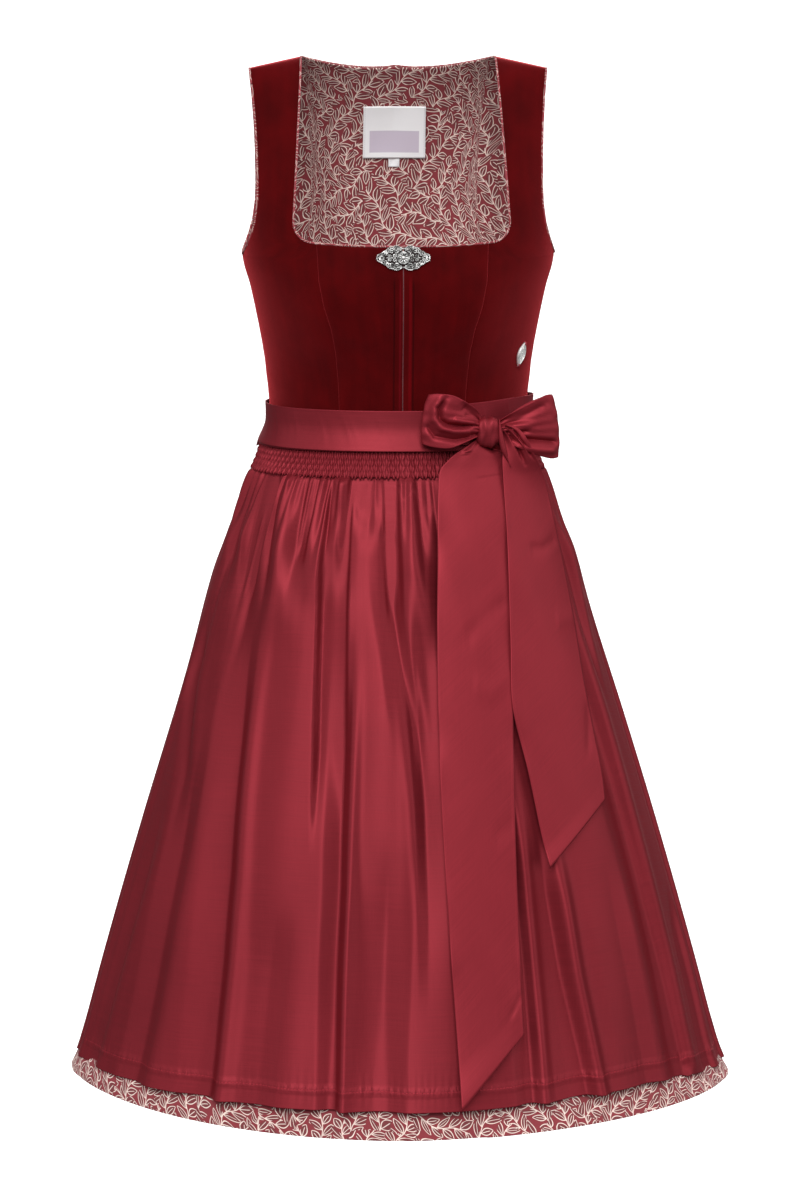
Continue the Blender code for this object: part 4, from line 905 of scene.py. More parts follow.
def woven_label(name, block):
    """A bare woven label: a pale ground, with one block of colour if given, its edges sewn."""
    look = Look(name, 0.62, Sheen_Weight=0.1, Specular_IOR_Level=0.35)
    tone = (0.97, 0.96, 0.97)
    u, v = look.map("cloth")
    away, up = look.map("rim")
    if block:
        high = look.ramp(up, 0.0056, 0.006) * look.within(up, 0.0276, 0.028)
        tone = look.mix(look.within(abs(u), 0.0242, 0.0246) * high, tone, block)
    thread = look.stitches(away, v, 0.0016, LABEL_STITCH)
    tone = look.mix(thread * 0.35, tone, (0.62, 0.6, 0.62))
    look.finish(tone, look.bump(thread, 0.0003, 0.6, look.weave(u, v, LABEL_THREAD, 0.00006)))


def dyed(name, colour, roughness, scale):
    """Plain dyed thread or tape with a fine uneven twist."""
    look = Look(name, roughness, Specular_IOR_Level=0.35)
    grain = look.noise(look.place(), scale, 2.0, 0.6)
    look.finish(look.shades(grain, 0.3, 0.7, colour, 0.7, 1.25), look.bump(grain, 0.00015, 0.6))


def make_finishes():
    colours = bpy.context.scene.dirndl_colours
    wine, red, metal = tuple(colours.velvet), tuple(colours.satin), tuple(colours.silver)
    ground, leaf, line = tuple(colours.print_ground), tuple(colours.print_leaf), tuple(colours.print_line)
    velvet("wine velvet", wine)
    velvet("placket velvet", wine, PLACKET_HIGHLIGHTS_AND_SHADES)
    satin("apron satin", red, hem=sizes().apron_hem)
    satin("ribbon satin", red, ribbon_hem=sizes().ribbon_hem)
    satin("plain satin", red)
    # The bow's loops and tails: the same satin painted 14% lighter, a painted highlight for the light that
    # falls on the bow
    satin("lightened bow satin", tinted(red, 1.14), ribbon_hem=sizes().ribbon_hem, brushed=0.0)
    satin("knot satin", red, mapped=False, brushed=0.0)
    leaf_print("leaf print", ground, leaf, line)
    faded = tuple(0.45 * a + 0.55 * b for a, b in zip(ground, line))
    leaf_print("piping print", tinted(ground, 1.25), ground, faded)
    silver("antique silver", metal, (0.13, 0.13, 0.127))
    silver("bright silver", metal, (0.62, 0.62, 0.61))
    woven_label("woven label", (0.66, 0.58, 0.68))
    woven_label("plain label", None)
    # Near-black for the plates behind the clasp's wires: the velvet seen through the openwork, painted
    # darker as the shade in its gaps
    dyed("clasp openwork shade", (0.014, 0.006, 0.006), 0.8, 900.0)
    dyed("zip tape", (0.15, 0.02, 0.028), 0.75, 1400.0)
    dyed("zip coil", (0.12, 0.04, 0.045), 0.5, 900.0)
    dyed("wine thread", (0.38, 0.05, 0.07), 0.6, 2500.0)


def finish(name):
    """One finish of the garment. The first call makes them all."""
    if "wine velvet" not in bpy.data.materials:
        make_finishes()
    return bpy.data.materials[name]


def sizes():
    return bpy.context.scene.dirndl_sizes


# Bodice
def mirrored(points, side=-1):
    """The same piece for the wearer's right, its columns turned round so that it faces out."""
    return points if side > 0 else points[:, ::-1] * (-1.0, 1.0, 1.0)


def rolled(away, depth=0.0003, reach=0.0014):
    """How far a panel dips as it turns in to its seam, at this distance from the edge."""
    return -depth * np.exp(-((away / reach) ** 2))


def velvet_drape(x, height):
    """Slight hollows of worn velvet: creases above the waist and a soft pull from the bust."""
    waist = bump(height, -0.335, 0.02) * 0.0006 * wobble(x * 60 + height * 30, 2)
    return waist + bump(height, -0.285, 0.03) * 0.0005 * wobble(x * 42 - height * 60, 5)


def at_side_seam(x, height):
    """Distance from the side seam below the armhole, tripled because it turns in sharply."""
    return 3.0 * np.where(height < UNDERARM + 0.002, arm_edge(height) - x, 1.0)


def over_shoulder(edge):
    """A strap's top edge brought to the shoulder seam, where front and back meet."""
    return edge * (1.0, 0.0, 1.0) + (0.0, SHOULDER_SEAM, 0.0006)


def front_centre_points():
    u, v = np.meshgrid(edged(np.linspace(0, 1, 29), 0.012), np.linspace(0, 1, 89))
    height = between(WAIST_SEAM, neck_floor(FRONT_SEAM[-1][1] * u), v)
    seam = edge_at(FRONT_SEAM, height)
    x = between(ZIP_SLIT, seam, u)
    lift = rolled(seam - x) + rolled(x - ZIP_SLIT, 0.0006, 0.0012) + velvet_drape(x, height)
    placket = smooth_step(x, PLACKET + PLACKET_EDGE, PLACKET - PLACKET_EDGE) - bump(x, PLACKET, 0.0011)
    lift += PLACKET_DEPTH * placket * smooth_step(height, -0.19, -0.21)
    return on_form(height, angle_at(height, x), lift)


def front_side_points():
    seam_top = float(neck_floor(FRONT_SEAM[-1][1]))
    rows = fine_rows((*BODICE_ROWS, UNDERARM, seam_top, *NECK_ROWS, SHOULDER_EDGE), ROW_STEPS)
    u, height = np.meshgrid(edged(np.linspace(0, 1, 31), 0.01), rows)
    inner = np.where(height > seam_top + 1e-6, neck_side(height), edge_at(FRONT_SEAM, height))
    angle = between(angle_at(height, inner), angle_at(height, arm_edge(height)), u)
    x = on_form(height, angle)[..., 0]
    away = np.where(height > seam_top, 1.0, x - inner)
    lift = rolled(away) + rolled(at_side_seam(x, height)) + velvet_drape(x, height)
    points = on_form(height, angle, lift)
    points[-1] = over_shoulder(points[-1])
    return points


def back_side_points():
    rows = fine_rows((*BODICE_ROWS, *BACK_ARM_ROWS, -0.1185), ROW_STEPS)
    u, height = np.meshgrid(edged(np.linspace(0, 1, 25), 0.012), rows)
    seam = edge_at(BACK_SEAM, height)
    angle = between(angle_at(height, arm_edge(height), True), angle_at(height, seam, True), u)
    x = on_form(height, angle)[..., 0]
    lift = rolled(x - seam) + rolled(at_side_seam(x, height)) + velvet_drape(x, height)
    return on_form(height, angle, lift)


def back_panel_points(outer=back_centre_edge, foot=WAIST_SEAM, lift=0.0, seam_depth=0.0005):
    """The back from its outer edges to centre back, up to the neckline and the shoulders. Rows
    fan out from level at the waist to the curve of the neckline."""
    heights = (foot, *BODICE_ROWS[1:], *BACK_ARM_ROWS, *BACK_TOP_ROWS)
    u, v = grid(BACK_COLUMNS, BACK_STEPS * (len(heights) - 1))
    across = 1 - u
    inside = across < NECK_SHARE
    neck_x = NECK_HALF * across / NECK_SHARE
    strap_x = between(NECK_HALF, SHOULDER_HALF, (across - NECK_SHARE) / (1 - NECK_SHARE))
    top = np.where(inside, np.minimum(SHOULDER_EDGE, back_neck(neck_x)), SHOULDER_EDGE)
    edge_rows = row_at(np.array(heights))
    down = (from_rows(edge_rows, v) - edge_rows[0]) / (edge_rows[-1] - edge_rows[0])
    height = level_at(between(edge_rows[0], row_at(top), down))[0]
    top_share = np.where(inside, neck_x, strap_x) / SHOULDER_HALF
    share = between(across, top_share, smooth_step(v, 0.45, 1.0))
    edge = outer(height)
    angle = angle_at(height, edge * share, True)
    away = np.where(height < BACK_SEAM[-1][0], edge * (1 - share), 1.0)
    row = row_at(height)
    stand = lift + rolled(away, seam_depth) + (velvet_drape(edge * share, height) if seam_depth else 0.0)
    half = form_point(row, angle) + form_normal(row, angle) * stand[..., None]
    straps = across[-1] >= NECK_SHARE
    half[-1, straps] = over_shoulder(half[-1, straps])
    return np.concatenate([half, mirrored(half)[:, 1:]], axis=1)


def lining_points(velvet_top):
    """The back's form set in, with small movements of loose cloth, none at its edges, and its top
    brought up to the velvet's."""
    points = back_panel_points(
        lambda height: arm_edge(height) - LINING_INSET, LINING_FOOT, -LINING_INSET, 0.0
    )
    u, v = grid(points.shape[1] - 1, points.shape[0] - 1)
    calm = np.clip(6 * u, 0, 1) * np.clip(6 * (1 - u), 0, 1)
    calm = calm * np.clip(8 * v, 0, 1) * np.clip(8 * (1 - v), 0, 1)
    points[..., 1] -= np.abs(0.0004 * wobble(points[..., 0] * 38 + points[..., 2] * 20, 3) * calm)
    points[..., 2] += smooth_step(v, 0.88, 1.0) * (velvet_top - points[-1, :, 2])
    return points


def velvet_panel(node, points, outside, rests_on):
    wall = sizes().velvet_wall
    cloth(f"{node}_velvet", node, points, wall, [outside, "leaf print"], "velvet", rests_on)


def make_bodice():
    fronts = ["bodice_front_centre_left", "bodice_front_centre_right"]
    panels = (
        ("bodice_front_centre", front_centre_points(), "placket velvet", ["bodice_front_zip"]),
        ("bodice_front_side", front_side_points(), "wine velvet", fronts),
        ("bodice_back_side", back_side_points(), "wine velvet", ["bodice_back_centre"]),
    )
    for side, word in SIDES:
        for panel, points, outside, rests_on in panels:
            velvet_panel(f"{panel}_{word}", mirrored(points, side), outside, rests_on)
    back = back_panel_points()
    velvet_panel("bodice_back_centre", back, "wine velvet", ["bodice_back_lining"])
    cloth(
        "bodice_back_lining_print", "bodice_back_lining", lining_points(back[-1, :, 2]), sizes().print_wall,
        ["leaf print"], "leaf_print", ["bodice_back_centre"],
    )


def make_zip():
    """The tape behind the slit, and its coil as a tube whose radius swells at every third ring."""
    u, height = np.meshgrid(np.linspace(-1, 1, 13), np.linspace(WAIST_SEAM, ZIP_TOP, 60))
    tape = on_form(height, angle_at(height, u * ZIP_HALF), -sizes().velvet_wall - COIL_DEPTH)
    fronts = ["bodice_front_centre_left", "bodice_front_centre_right"]
    cloth("zip_tape_cloth", "bodice_front_zip", tape, ZIP_WALL, ["zip tape"], "zip_tape", fronts, "laid")
    height = np.linspace(WAIST_SEAM + 0.001, ZIP_TOP - 0.002, COIL_RINGS)
    ribs = COIL_RADIUS * (1 + 0.22 * np.cos(np.arange(COIL_RINGS) * 2 * np.pi / 3.0))
    solid_piece("zip_coil", [tube(on_form(height, 0.0, -COIL_DEPTH), ribs)], "zip coil")


# Piping
def corded_edge(node, line):
    """Piping: a cord covered in the print, along a closed line."""
    radius = sizes().piping_radius
    path = smoothed(evenly(np.vstack([line, line[:1]]), CORD_STEP)[:-1], 3, True)
    points, faces = tube(path, radius, CORD_SIDES, closed=True)
    turn, run = np.meshgrid(round_turn(CORD_SIDES) * radius, np.arange(len(path)) * CORD_STEP)
    along = np.stack([turn, run], axis=-1).reshape(-1, 2)
    mesh = fill_mesh(f"{node}_cord", points, faces, [(title, along) for title in ("cloth", "rim", "ribbon")])
    dress(f"{node}_cord", mesh, ["piping print"], [node])


def past_edge(edge, inside):
    """An edge's points moved outward by the cord's own space, away from the row inside it."""
    ahead = unit(np.gradient(edge, axis=0))
    away = edge - inside
    away = away - ahead * (away * ahead).sum(-1, keepdims=True)
    return edge + unit(away) * CORD_SPACE


def make_piping():
    centre, side = front_centre_points(), front_side_points()
    back, flank = back_panel_points(), back_side_points()
    seam_row, underarm_row = 7 * ROW_STEPS, 6 * ROW_STEPS
    neck = slice(round(BACK_COLUMNS * (1 - NECK_SHARE)), BACK_COLUMNS + 1)
    front = past_edge(centre[-1], centre[-3])
    up = past_edge(side[seam_row + 2 :, 0], side[seam_row + 2 :, 1])
    half = np.vstack([front, up, past_edge(back[-1, neck], back[-3, neck])])
    corded_edge("neckline_piping", np.vstack([half, half[-2:0:-1] * (-1.0, 1.0, 1.0)]))
    up = past_edge(side[underarm_row:, -1], side[underarm_row:, -2])
    seam_top = int(np.argmin(np.abs(back[:, 0, 2] - flank[-1, 0, 2])))
    down = past_edge(back[seam_top:, 0], back[seam_top:, 1])[::-1]
    low = past_edge(flank[underarm_row:, 0], flank[underarm_row:, 1])[::-1]
    ring = np.vstack([up, down, low])
    corded_edge("armhole_piping_left", ring)
    corded_edge("armhole_piping_right", ring[::-1] * (-1.0, 1.0, 1.0))


# Skirt
def back_share(angle):
    return smooth_step(from_front(angle), GATHERS_FROM, GATHERS_FULL)


def skirt_wave(angle, height):
    """Fine gathers below the waist seam that open into broad folds at the hem: a cosine of many
    turns whose depth runs out, and one of few turns whose depth grows down the skirt."""
    turns = (angle % 360) / 180
    fine = 0.5 + 0.5 * np.cos(2 * np.pi * SKIRT_GATHERS * turns)
    drift = sum(size * np.sin(2 * np.pi * count * turns + start) for size, count, start in FOLD_DRIFT)
    broad = np.cos(2 * np.pi * SKIRT_FOLDS * (turns + drift))
    depth = FOLD_DEPTH + FOLD_UNEVEN * np.sin(5 * np.pi * turns)
    calm = 1 - 0.75 * bump(from_front(angle), 92.0, 22.0)
    depth = depth * calm * smooth_step(-height, FOLD_START, FOLD_FULL)
    fine_depth = (0.0012 + 0.004 * bump(-height, 0.405, 0.035)) * (1 - smooth_step(-height, 0.42, 0.55))
    return back_share(angle) * (fine_depth * fine + depth * broad) - SKIRT_EASE


def skirt_detail(angle, height):
    """Uneven second gathers behind, where no apron lies on the skirt."""
    free = smooth_step(from_front(angle), 101.0, 112.0) * smooth_step(-height, 0.372, 0.392)
    sharp = signed_power(wobble(angle * 1.15 + 1.4 * wobble(height * 9, 4), 1), 1.3)
    near = 0.0022 * (1 - smooth_step(-height, 0.46, 0.66))
    low = 0.0014 * smooth_step(-height, 0.5, 0.8)
    slow = wobble(angle * 0.33 + 0.8 * wobble(height * 5, 2), 6)
    return free * (near * sharp + low * slow)


def hem_kick(angle, height):
    """How far the skirt's hem swings out at the sides."""
    return HEM_KICK * np.sin(np.radians(angle)) ** 2 * smooth_step(-height, 0.94, -SKIRT_HEM)


def skirt_points(start, end, columns, each):
    angle, height = np.meshgrid(np.linspace(start, end, columns + 1), edged(fine_rows(SKIRT_ROWS, each)))
    kick = hem_kick(angle, height)
    side = np.sin(np.radians(angle))
    sweep = HEM_RISE * side**2 - HEM_LEAN * side * np.abs(side) - 4 * HEM_DIP * side**2 * (1 - side**2)
    height = height + smooth_step(-height, 0.7, -SKIRT_HEM) * sweep
    return on_form(height, angle, skirt_wave(angle, height) + skirt_detail(angle, height) + kick)


def make_skirt():
    for word, middle, columns, each, under, held, cut in (
        ("front", 0, 170, 8, "bodice_front_centre_left", "hung", None),
        ("back", 180, 440, 12, "bodice_back_centre", "gathered", (SKIRT_BACK_CUT, SKIRT_BACK_AREA)),
    ):
        points = skirt_points(middle - 90 + SIDE_SEAM, middle + 90 - SIDE_SEAM, columns, each)
        node = f"skirt_{word}"
        wall = sizes().print_wall
        cloth(f"{node}_print", node, points, wall, ["leaf print"], "leaf_print", [under], held, cut=cut)


# Apron
def gather_lift(away, depth, lip):
    """A bell across a gather's line, with a lip on one side."""
    valley = np.exp(-1.25 * (np.sqrt(away**2 + 0.03) - 0.173))
    raised = bump(away, 1.9 * np.sign(lip), 1.1)
    return depth / 1000 * GATHER_GAIN * (1.7 * abs(lip) * raised - valley)


def fold_lift(away, depth, lip):
    """Two flat walls, the one on the lip's side steep and the other gentle, and the lip."""
    lean, back = max(lip, 0.0), max(-lip, 0.0)
    away = away / np.where(away < 0, 1 + 1.3 * lean - 0.35 * back, 1 + 1.3 * back - 0.35 * lean)
    flat = 1 - np.sqrt(away**2 + 0.008) / 1.6
    trough = 0.5 * (flat + np.sqrt(flat**2 + 0.005))
    raised = bump(away, 2.3 * np.sign(lip), 1.2)
    return depth / 1000 * FOLD_GAIN * (0.7 * abs(lip) * raised - trough)


def crease_lift(angle, height):
    """The sum of all creases, which fade at their ends. A gather starts at once under the smocking
    and widens as it falls."""
    total = np.zeros_like(angle)
    creases = [*((*fold, False) for fold in FOLDS), *((GATHERS_TOP, *gather, True) for gather in GATHERS)]
    for top, foot, line, depth, width, lip, gathered in creases:
        share = (top / 1000 - height) / ((top - foot) / 1000)
        middle = from_rows(line, share)
        fade = (share >= 0) * (share <= 1) * 1.0
        if foot / 1000 > APRON_HEM:
            fade = fade * (1 - smooth_step(share, 0.45, 1.0))
        if gathered:
            width = width * (1 + GATHER_GROWTH * np.clip(share, 0, 1))
        else:
            fade = fade * smooth_step(share, 0.0, 0.32)
        away = (angle - middle) / degrees_of(height, width)
        total += fade * (gather_lift if gathered else fold_lift)(away, depth, lip)
    for top, foot, left, right, depth, tilt in PANELS:
        share = (top - height) / (top - foot)
        left, right = from_rows(left, share), from_rows(right, share)
        inside = smooth_step(angle, left - 0.9, left + 0.5) * smooth_step(angle, right + 0.9, right - 0.5)
        inside = inside * smooth_step(share, 0.0, 0.15) * smooth_step(share, 1.0, 0.7)
        total -= inside * (depth - tilt * ((angle - left) / (right - left) - 0.5))
    for at, middle, tall, wide, lift in SWELLS:
        total += lift * bump(height, at, tall) * bump(angle, middle, wide)
    return total


def apron_pile(angle, height):
    """How far the apron stands off the skirt, never less than nothing."""
    share = (height - APRON_TOP) / (APRON_HEM - APRON_TOP)
    at_sides = smooth_step(np.abs(angle), *APRON_SIDES)
    pile = APRON_PILE * smooth_step(share, 0.0, 0.26)
    pile = pile * (1 - 0.3 * smooth_step(share, 0.7, 1.0)) * (1 - 0.7 * at_sides)
    head = (0.003 + 0.0034 * bump(share, 0.06, 0.06)) * (1 - smooth_step(share, 0.1, 0.3))
    head = head * (1 - 0.6 * at_sides)
    turn = 2 * np.pi * angle / GATHER_DEGREES + 3.0 * wobble(angle * 0.12, 3)
    uneven = 0.6 + 0.6 * wobble(angle * 0.5, 8)
    head = head + 0.003 * (0.5 - np.abs(np.sin(turn)) ** 0.7) * uneven * np.exp(-share / 0.034)
    ripple = 0.0005 * wobble(angle * 0.3 + 1.2 * wobble(height * 7, 3), 2) * bump(share, 0.12, 0.22)
    pucker = 0.0005 * bump(height, APRON_HEM + sizes().apron_hem, 0.006) * wobble(angle * 2.6, 7)
    pile = pile + head + crease_lift(angle, height) + ripple + pucker
    return 0.5 * (pile + np.sqrt(pile**2 + 0.0009**2))


def apron_points():
    """The skirt's own surface with the pile on it. Its sides draw in to the skirt."""
    u = edged(np.linspace(-1, 1, 465), 0.0012)
    angle, height = np.meshgrid(APRON_REACH * (0.78 * u + 0.22 * u**3), edged(fine_rows(APRON_ROWS, 12)))
    up = (height - APRON_HEM) / (APRON_TOP - APRON_HEM)
    height = height - APRON_SAG * smooth_step(angle, *APRON_SIDES) * (1 - up) ** 3
    under = np.maximum(-SKIRT_EASE, skirt_wave(angle, height))
    out_of_smocking = between(0.42, 1.0, smooth_step(SMOCK_FOOT - height, -0.0026, 0.006))
    stand = (APRON_CLEARANCE + apron_pile(angle, height)) * out_of_smocking
    edge = smooth_step(np.abs(angle), *APRON_HUG) * smooth_step(-height, 0.384, 0.412)
    loose = under + APRON_BACK_EASE * back_share(angle) + stand
    close = under + hem_kick(angle, height) + 0.0008
    return on_form(height, angle, between(loose, close, edge) + sizes().satin_wall)


def smocking_points():
    """Pleats as cosines round the apron. Neighbours lean together in pairs, and the pairs change
    over at each stitched row, which makes small diamonds."""
    u, v = grid(SMOCK_PLEATS * 8, 4 * 6)
    pleat, row = u * SMOCK_PLEATS, v * SMOCK_ROWS
    lean = 0.17 * np.cos(np.pi * row) * np.cos(np.pi * pleat)
    angle = between(-APRON_REACH, APRON_REACH, (pleat + lean) / SMOCK_PLEATS)
    ridge = (0.5 + 0.5 * np.cos(2 * np.pi * pleat)) ** 0.8
    uneven = 1 + 0.25 * wobble(pleat * 0.9, 3)
    lift = 0.0019 + 0.0019 * ridge * (0.55 + 0.45 * np.abs(np.sin(np.pi * row))) * uneven
    height = between(SMOCK_FOOT - 0.0022 * ridge * uneven, SMOCK_TOP, v)
    lift = lift + GATHER_HEAD * back_share(angle) + 0.0008 * smooth_step(v, 0.5, 0.0)
    return on_form(height, angle, lift)


def strip_points(start, end, strip, columns, crumple):
    """A ribbon round the waist: its top edge and lift from its table, slight slack in its middle,
    and its foot pushed out by the gathers below it."""
    tops, width, lift = strip
    u, v = np.meshgrid(np.linspace(0, 1, columns + 1), edged(np.linspace(0, 1, 15), 0.018))
    angle = between(start, end, u)
    height = along_table([(top,) for top in tops], u)[0] - width * (1 - v)
    slack = np.sin(np.pi * v) * crumple * wobble(angle * 0.35 + 2.2 * v, 4)
    return on_form(height, angle, lift + np.abs(slack) + BAND_FLARE * smooth_step(-height, 0.346, 0.371))


def satin_piece(name, node, points, rests_on, finish_name="ribbon satin", wall=None, **more):
    wall = wall or sizes().ribbon_wall
    cloth(name, node, points, wall, [finish_name], "satin", [rests_on], **more)


def make_apron():
    gathered = {"rests_on": "skirt_front", "held": "gathered"}
    satin_piece(
        "apron_satin", "apron_panel", apron_points(), finish_name="apron satin", wall=sizes().satin_wall,
        cut=(APRON_CUT, APRON_AREA), **gathered,
    )
    satin_piece(
        "apron_smocking_satin", "apron_smocking", smocking_points(), finish_name="plain satin",
        wall=SMOCK_WALL, cut=(SMOCKING_CUT, None), **gathered,
    )
    end = 360 - APRON_REACH - TIE_START
    knot = 360 + KNOT_ANGLE
    for node, start, end, strip, columns, crumple, under in (
        ("apron_waistband", -APRON_REACH, APRON_REACH, BAND, 200, 0.0004, "skirt_front"),
        ("apron_tie_first", 360 - end, knot - TIE_STOP, FIRST_TIE, 300, 0.0004, "apron_waistband"),
        ("apron_tie_second", knot - 360 - TIE_UNDER, end, SECOND_TIE, 260, 0.0007, "apron_tie_first"),
    ):
        points = strip_points(start, end, strip, columns, crumple)
        satin_piece(f"{node}_satin", node, points, under, ribbon=True)


# Bow
def in_bow(out, lift, up):
    """Points in the bow's own directions: out along the band, away from it, and up."""
    away = unit(level_normal(row_at(KNOT_HEIGHT), KNOT_ANGLE) + (BOW_TURN, 0, 0))
    place = on_form(KNOT_HEIGHT, KNOT_ANGLE, BOW_STAND)
    along = np.array([-away[1], away[0], 0.0])
    out, lift, up = (value[..., None] for value in np.broadcast_arrays(out, lift, up))
    return place + out * along + lift * away + up * (0.0, 0.0, 1.0)


def pressed(x, y, creases, scale):
    """The sum of creases at points of two arrays: each a bell across its own line, in metres."""
    total = np.zeros_like(x)
    for line, depth, width in creases:
        away, along = near_line(x, y, np.array(line) * scale)
        fade = smooth_step(along, 0.0, 0.12) * (1 - smooth_step(along, 0.82, 1.0))
        total += depth / 1000 * (0.25 + 0.75 * fade) * np.exp(-((away / width) ** 2))
    return total


def loop_points(rows, creases, direction):
    """A ribbon out from the knot in front and back behind. Its sections come from the table, and
    its front has its own creases and fine folds that run together at the knot."""
    u, v = grid(150, 64)
    out, lift, rise, spread = along_table(rows, u)
    q = 2 * v - 1
    reach, _, _, widest = rows.max(0)
    front = 1 - smooth_step(u, 0.44, 0.56)
    fold = pressed(out * 1000, q * spread * 1000, creases, (reach * 1000, widest * 1000))
    waves = np.cos(2 * np.pi * (2.6 * q + 0.35 * np.sin(3 * q) + 0.2 * direction))
    fold = fold + 0.0016 * np.exp(-out / reach / 0.34) * waves
    behind = 0.0007 * np.cos(4.2 * np.pi * q + 1.0) * (1 - front) * np.sin(np.pi * u)
    out = out * (1 - LOOP_LEAN * q) - 0.0035 * np.abs(q) ** 2.5 * np.sin(np.pi * u)
    points = in_bow(direction * out, lift + front * fold + behind, rise + q * spread)
    return points if direction < 0 else points[:, ::-1]


def knot_rings():
    """A rounded block whose section is a superellipse, wrapped by creases that run up and over."""
    turn = round_turn(72)[None, :]
    fall = np.linspace(0.05, np.pi - 0.05, 48)[:, None]
    x = signed_power(np.cos(fall), 0.75) * np.ones_like(turn)
    y = signed_power(np.sin(fall) * np.sin(turn), 0.78)
    z = signed_power(np.sin(fall) * np.cos(turn), 0.78)
    crease = 0.05 * np.cos(7.5 * x + 2.6 * y + 1.1) + 0.032 * np.cos(13 * x - 3.0 * y)
    grow = 1 + (crease + 0.04 * np.sin(5 * y - 3 * x)) * np.sin(fall)
    waist = 1 - 0.1 * np.exp(-((y / 0.35) ** 2))
    return in_bow(x * 0.0125 * waist - 0.0022, 0.0142 + 0.009 * z * grow, y * 0.0145 * grow + 0.0018)


def pointed_fold_rings():
    """A narrow fold that hangs from the knot: flat ovals along a bent line, widest above its
    middle and drawn to a point below, raised along its middle."""
    down, turn = np.linspace(0, 1, 36)[:, None], round_turn(20)[None, :]
    share = np.sin(np.pi * (1 - 0.88 * down)) ** 0.7 * (0.05 + 0.95 * smooth_step(1 - down, 0, 0.35))
    swell = 0.0024 * (0.3 + 0.7 * share) * signed_power(np.sin(turn), 1.3)
    return in_bow(
        along_table(FOLD_LINE, down)[0] + 0.0031 * share * np.cos(turn),
        between(0.02, 0.0235, down) + swell,
        between(0.014, -0.0315, down) - 0.0008 * np.cos(turn),
    )


def tail_points(rows, creases, count):
    """A ribbon tail between two edges that its table gives, each with its own lift off the form,
    with creases from the knot and a slight curl at its long edges."""
    u, v = grid(44, count)
    right_x, right_z, right_lift, left_x, left_z, left_lift = along_table(rows, 1 - v)
    x, z = between(right_x, left_x, u), between(right_z, left_z, u)
    size = (1000 * (rows[:, 3] - rows[:, 0]).max(), 1000 * (rows[0, 1] - rows[-1, 1]))
    fold = pressed(u * size[0], (1 - v) * size[1], creases, size)
    bunch = 0.0017 * np.exp(-(1 - v) / 0.1) * np.cos(2 * np.pi * (2.3 * u + 0.15))
    curl = 0.001 * np.abs(2 * u - 1) ** 6 * wobble(z * 26, 3)
    slow = 0.0009 * wobble(z * 15 + 2.0 * u, 6)
    end = 0.003 * smooth_step(v, 0.06, 0.0) * (1 - u)
    lift = between(right_lift, left_lift, u) + np.maximum(fold + bunch + curl + slow + end, -0.0062)
    angle = angle_at(z, x)
    for _ in range(3):
        angle = angle_at(z, x - level_normal(row_at(z), angle)[..., 0] * lift)
    return on_form(z, angle, lift)


def make_bow():
    for node, rows, creases, direction in (
        ("bow_loop_right", RIGHT_LOOP, RIGHT_LOOP_CREASES, -1),
        ("bow_loop_left", LEFT_LOOP, LEFT_LOOP_CREASES, 1),
    ):
        points = loop_points(rows, creases, direction)
        more = {"held": "folded", "ribbon": True}
        satin_piece(f"{node}_satin", node, points, "apron_waistband", "lightened bow satin", **more)
    solid_piece("bow_knot_satin", [capped(knot_rings())], "knot satin", ["bow_knot"])
    solid_piece("bow_fold_satin", [capped(pointed_fold_rings())], "knot satin", [])
    for node, rows, creases, count in (
        ("bow_tail_long", LONG_TAIL, LONG_TAIL_CREASES, 200),
        ("bow_tail_short", SHORT_TAIL, SHORT_TAIL_CREASES, 160),
    ):
        points = tail_points(rows, creases, count)
        satin_piece(f"{node}_satin", node, points, "apron_panel", "lightened bow satin", held="hung")


# Clasp
def scroll_path(x, y, radius, start, turns, height):
    """A spiral in to its centre: its distance from the middle shrinks evenly with the turn."""
    share = np.linspace(0, 1, max(12, int(26 * abs(turns))))
    angle = math.radians(start) + share * turns * 2 * np.pi
    reach = radius * (1 - 0.8 * share)
    return np.stack([x + reach * np.cos(angle), y + reach * np.sin(angle), height + 0 * share], -1)


def bead(x, y, z, radius, stretch=(1.0, 1.0, 0.8), turn=0.0):
    """A small rounded bead: rings of a sphere, longer one way where it is a petal."""
    fall = np.linspace(0.25, np.pi - 0.25, 5)[:, None]
    around = round_turn(8)[None, :]
    a = radius * stretch[0] * np.cos(fall) * np.ones_like(around)
    b = radius * stretch[1] * np.sin(fall) * np.cos(around)
    c = radius * stretch[2] * np.sin(fall) * np.sin(around)
    cos, sin = math.cos(turn), math.sin(turn)
    return np.stack([x + a * cos - b * sin, y + a * sin + b * cos, z + c], -1)


def on_bodice_front(flat):
    """Points given across, up and out from the clasp's middle, laid on the bodice's front."""
    x, y, out = np.moveaxis(np.asarray(flat, float), -1, 0)
    height = level_for(on_form(CLASP_HEIGHT, 0.0)[2] + y, x)
    return on_form(height, angle_at(height, x), CLASP_STAND + out)


def clasp_plate(outline, middle, thick):
    """A plate of this outline: rings that grow from its middle below and shrink back above."""
    rings = [
        np.column_stack([middle + (outline - middle) * size, np.full(len(outline), rise)])
        for size, rise in ((0.3, 0.0), (0.65, 0.0), (1.0, 0.0), (1.0, thick), (0.65, thick), (0.3, thick))
    ]
    points, faces = capped(np.stack(rings), [*middle, 0.0], [*middle, thick])
    return on_bodice_front(points), faces


def ring_line(radius, rise, count=40):
    turn = round_turn(count)
    return np.stack([radius * np.cos(turn), radius * np.sin(turn), rise + 0 * turn], -1)


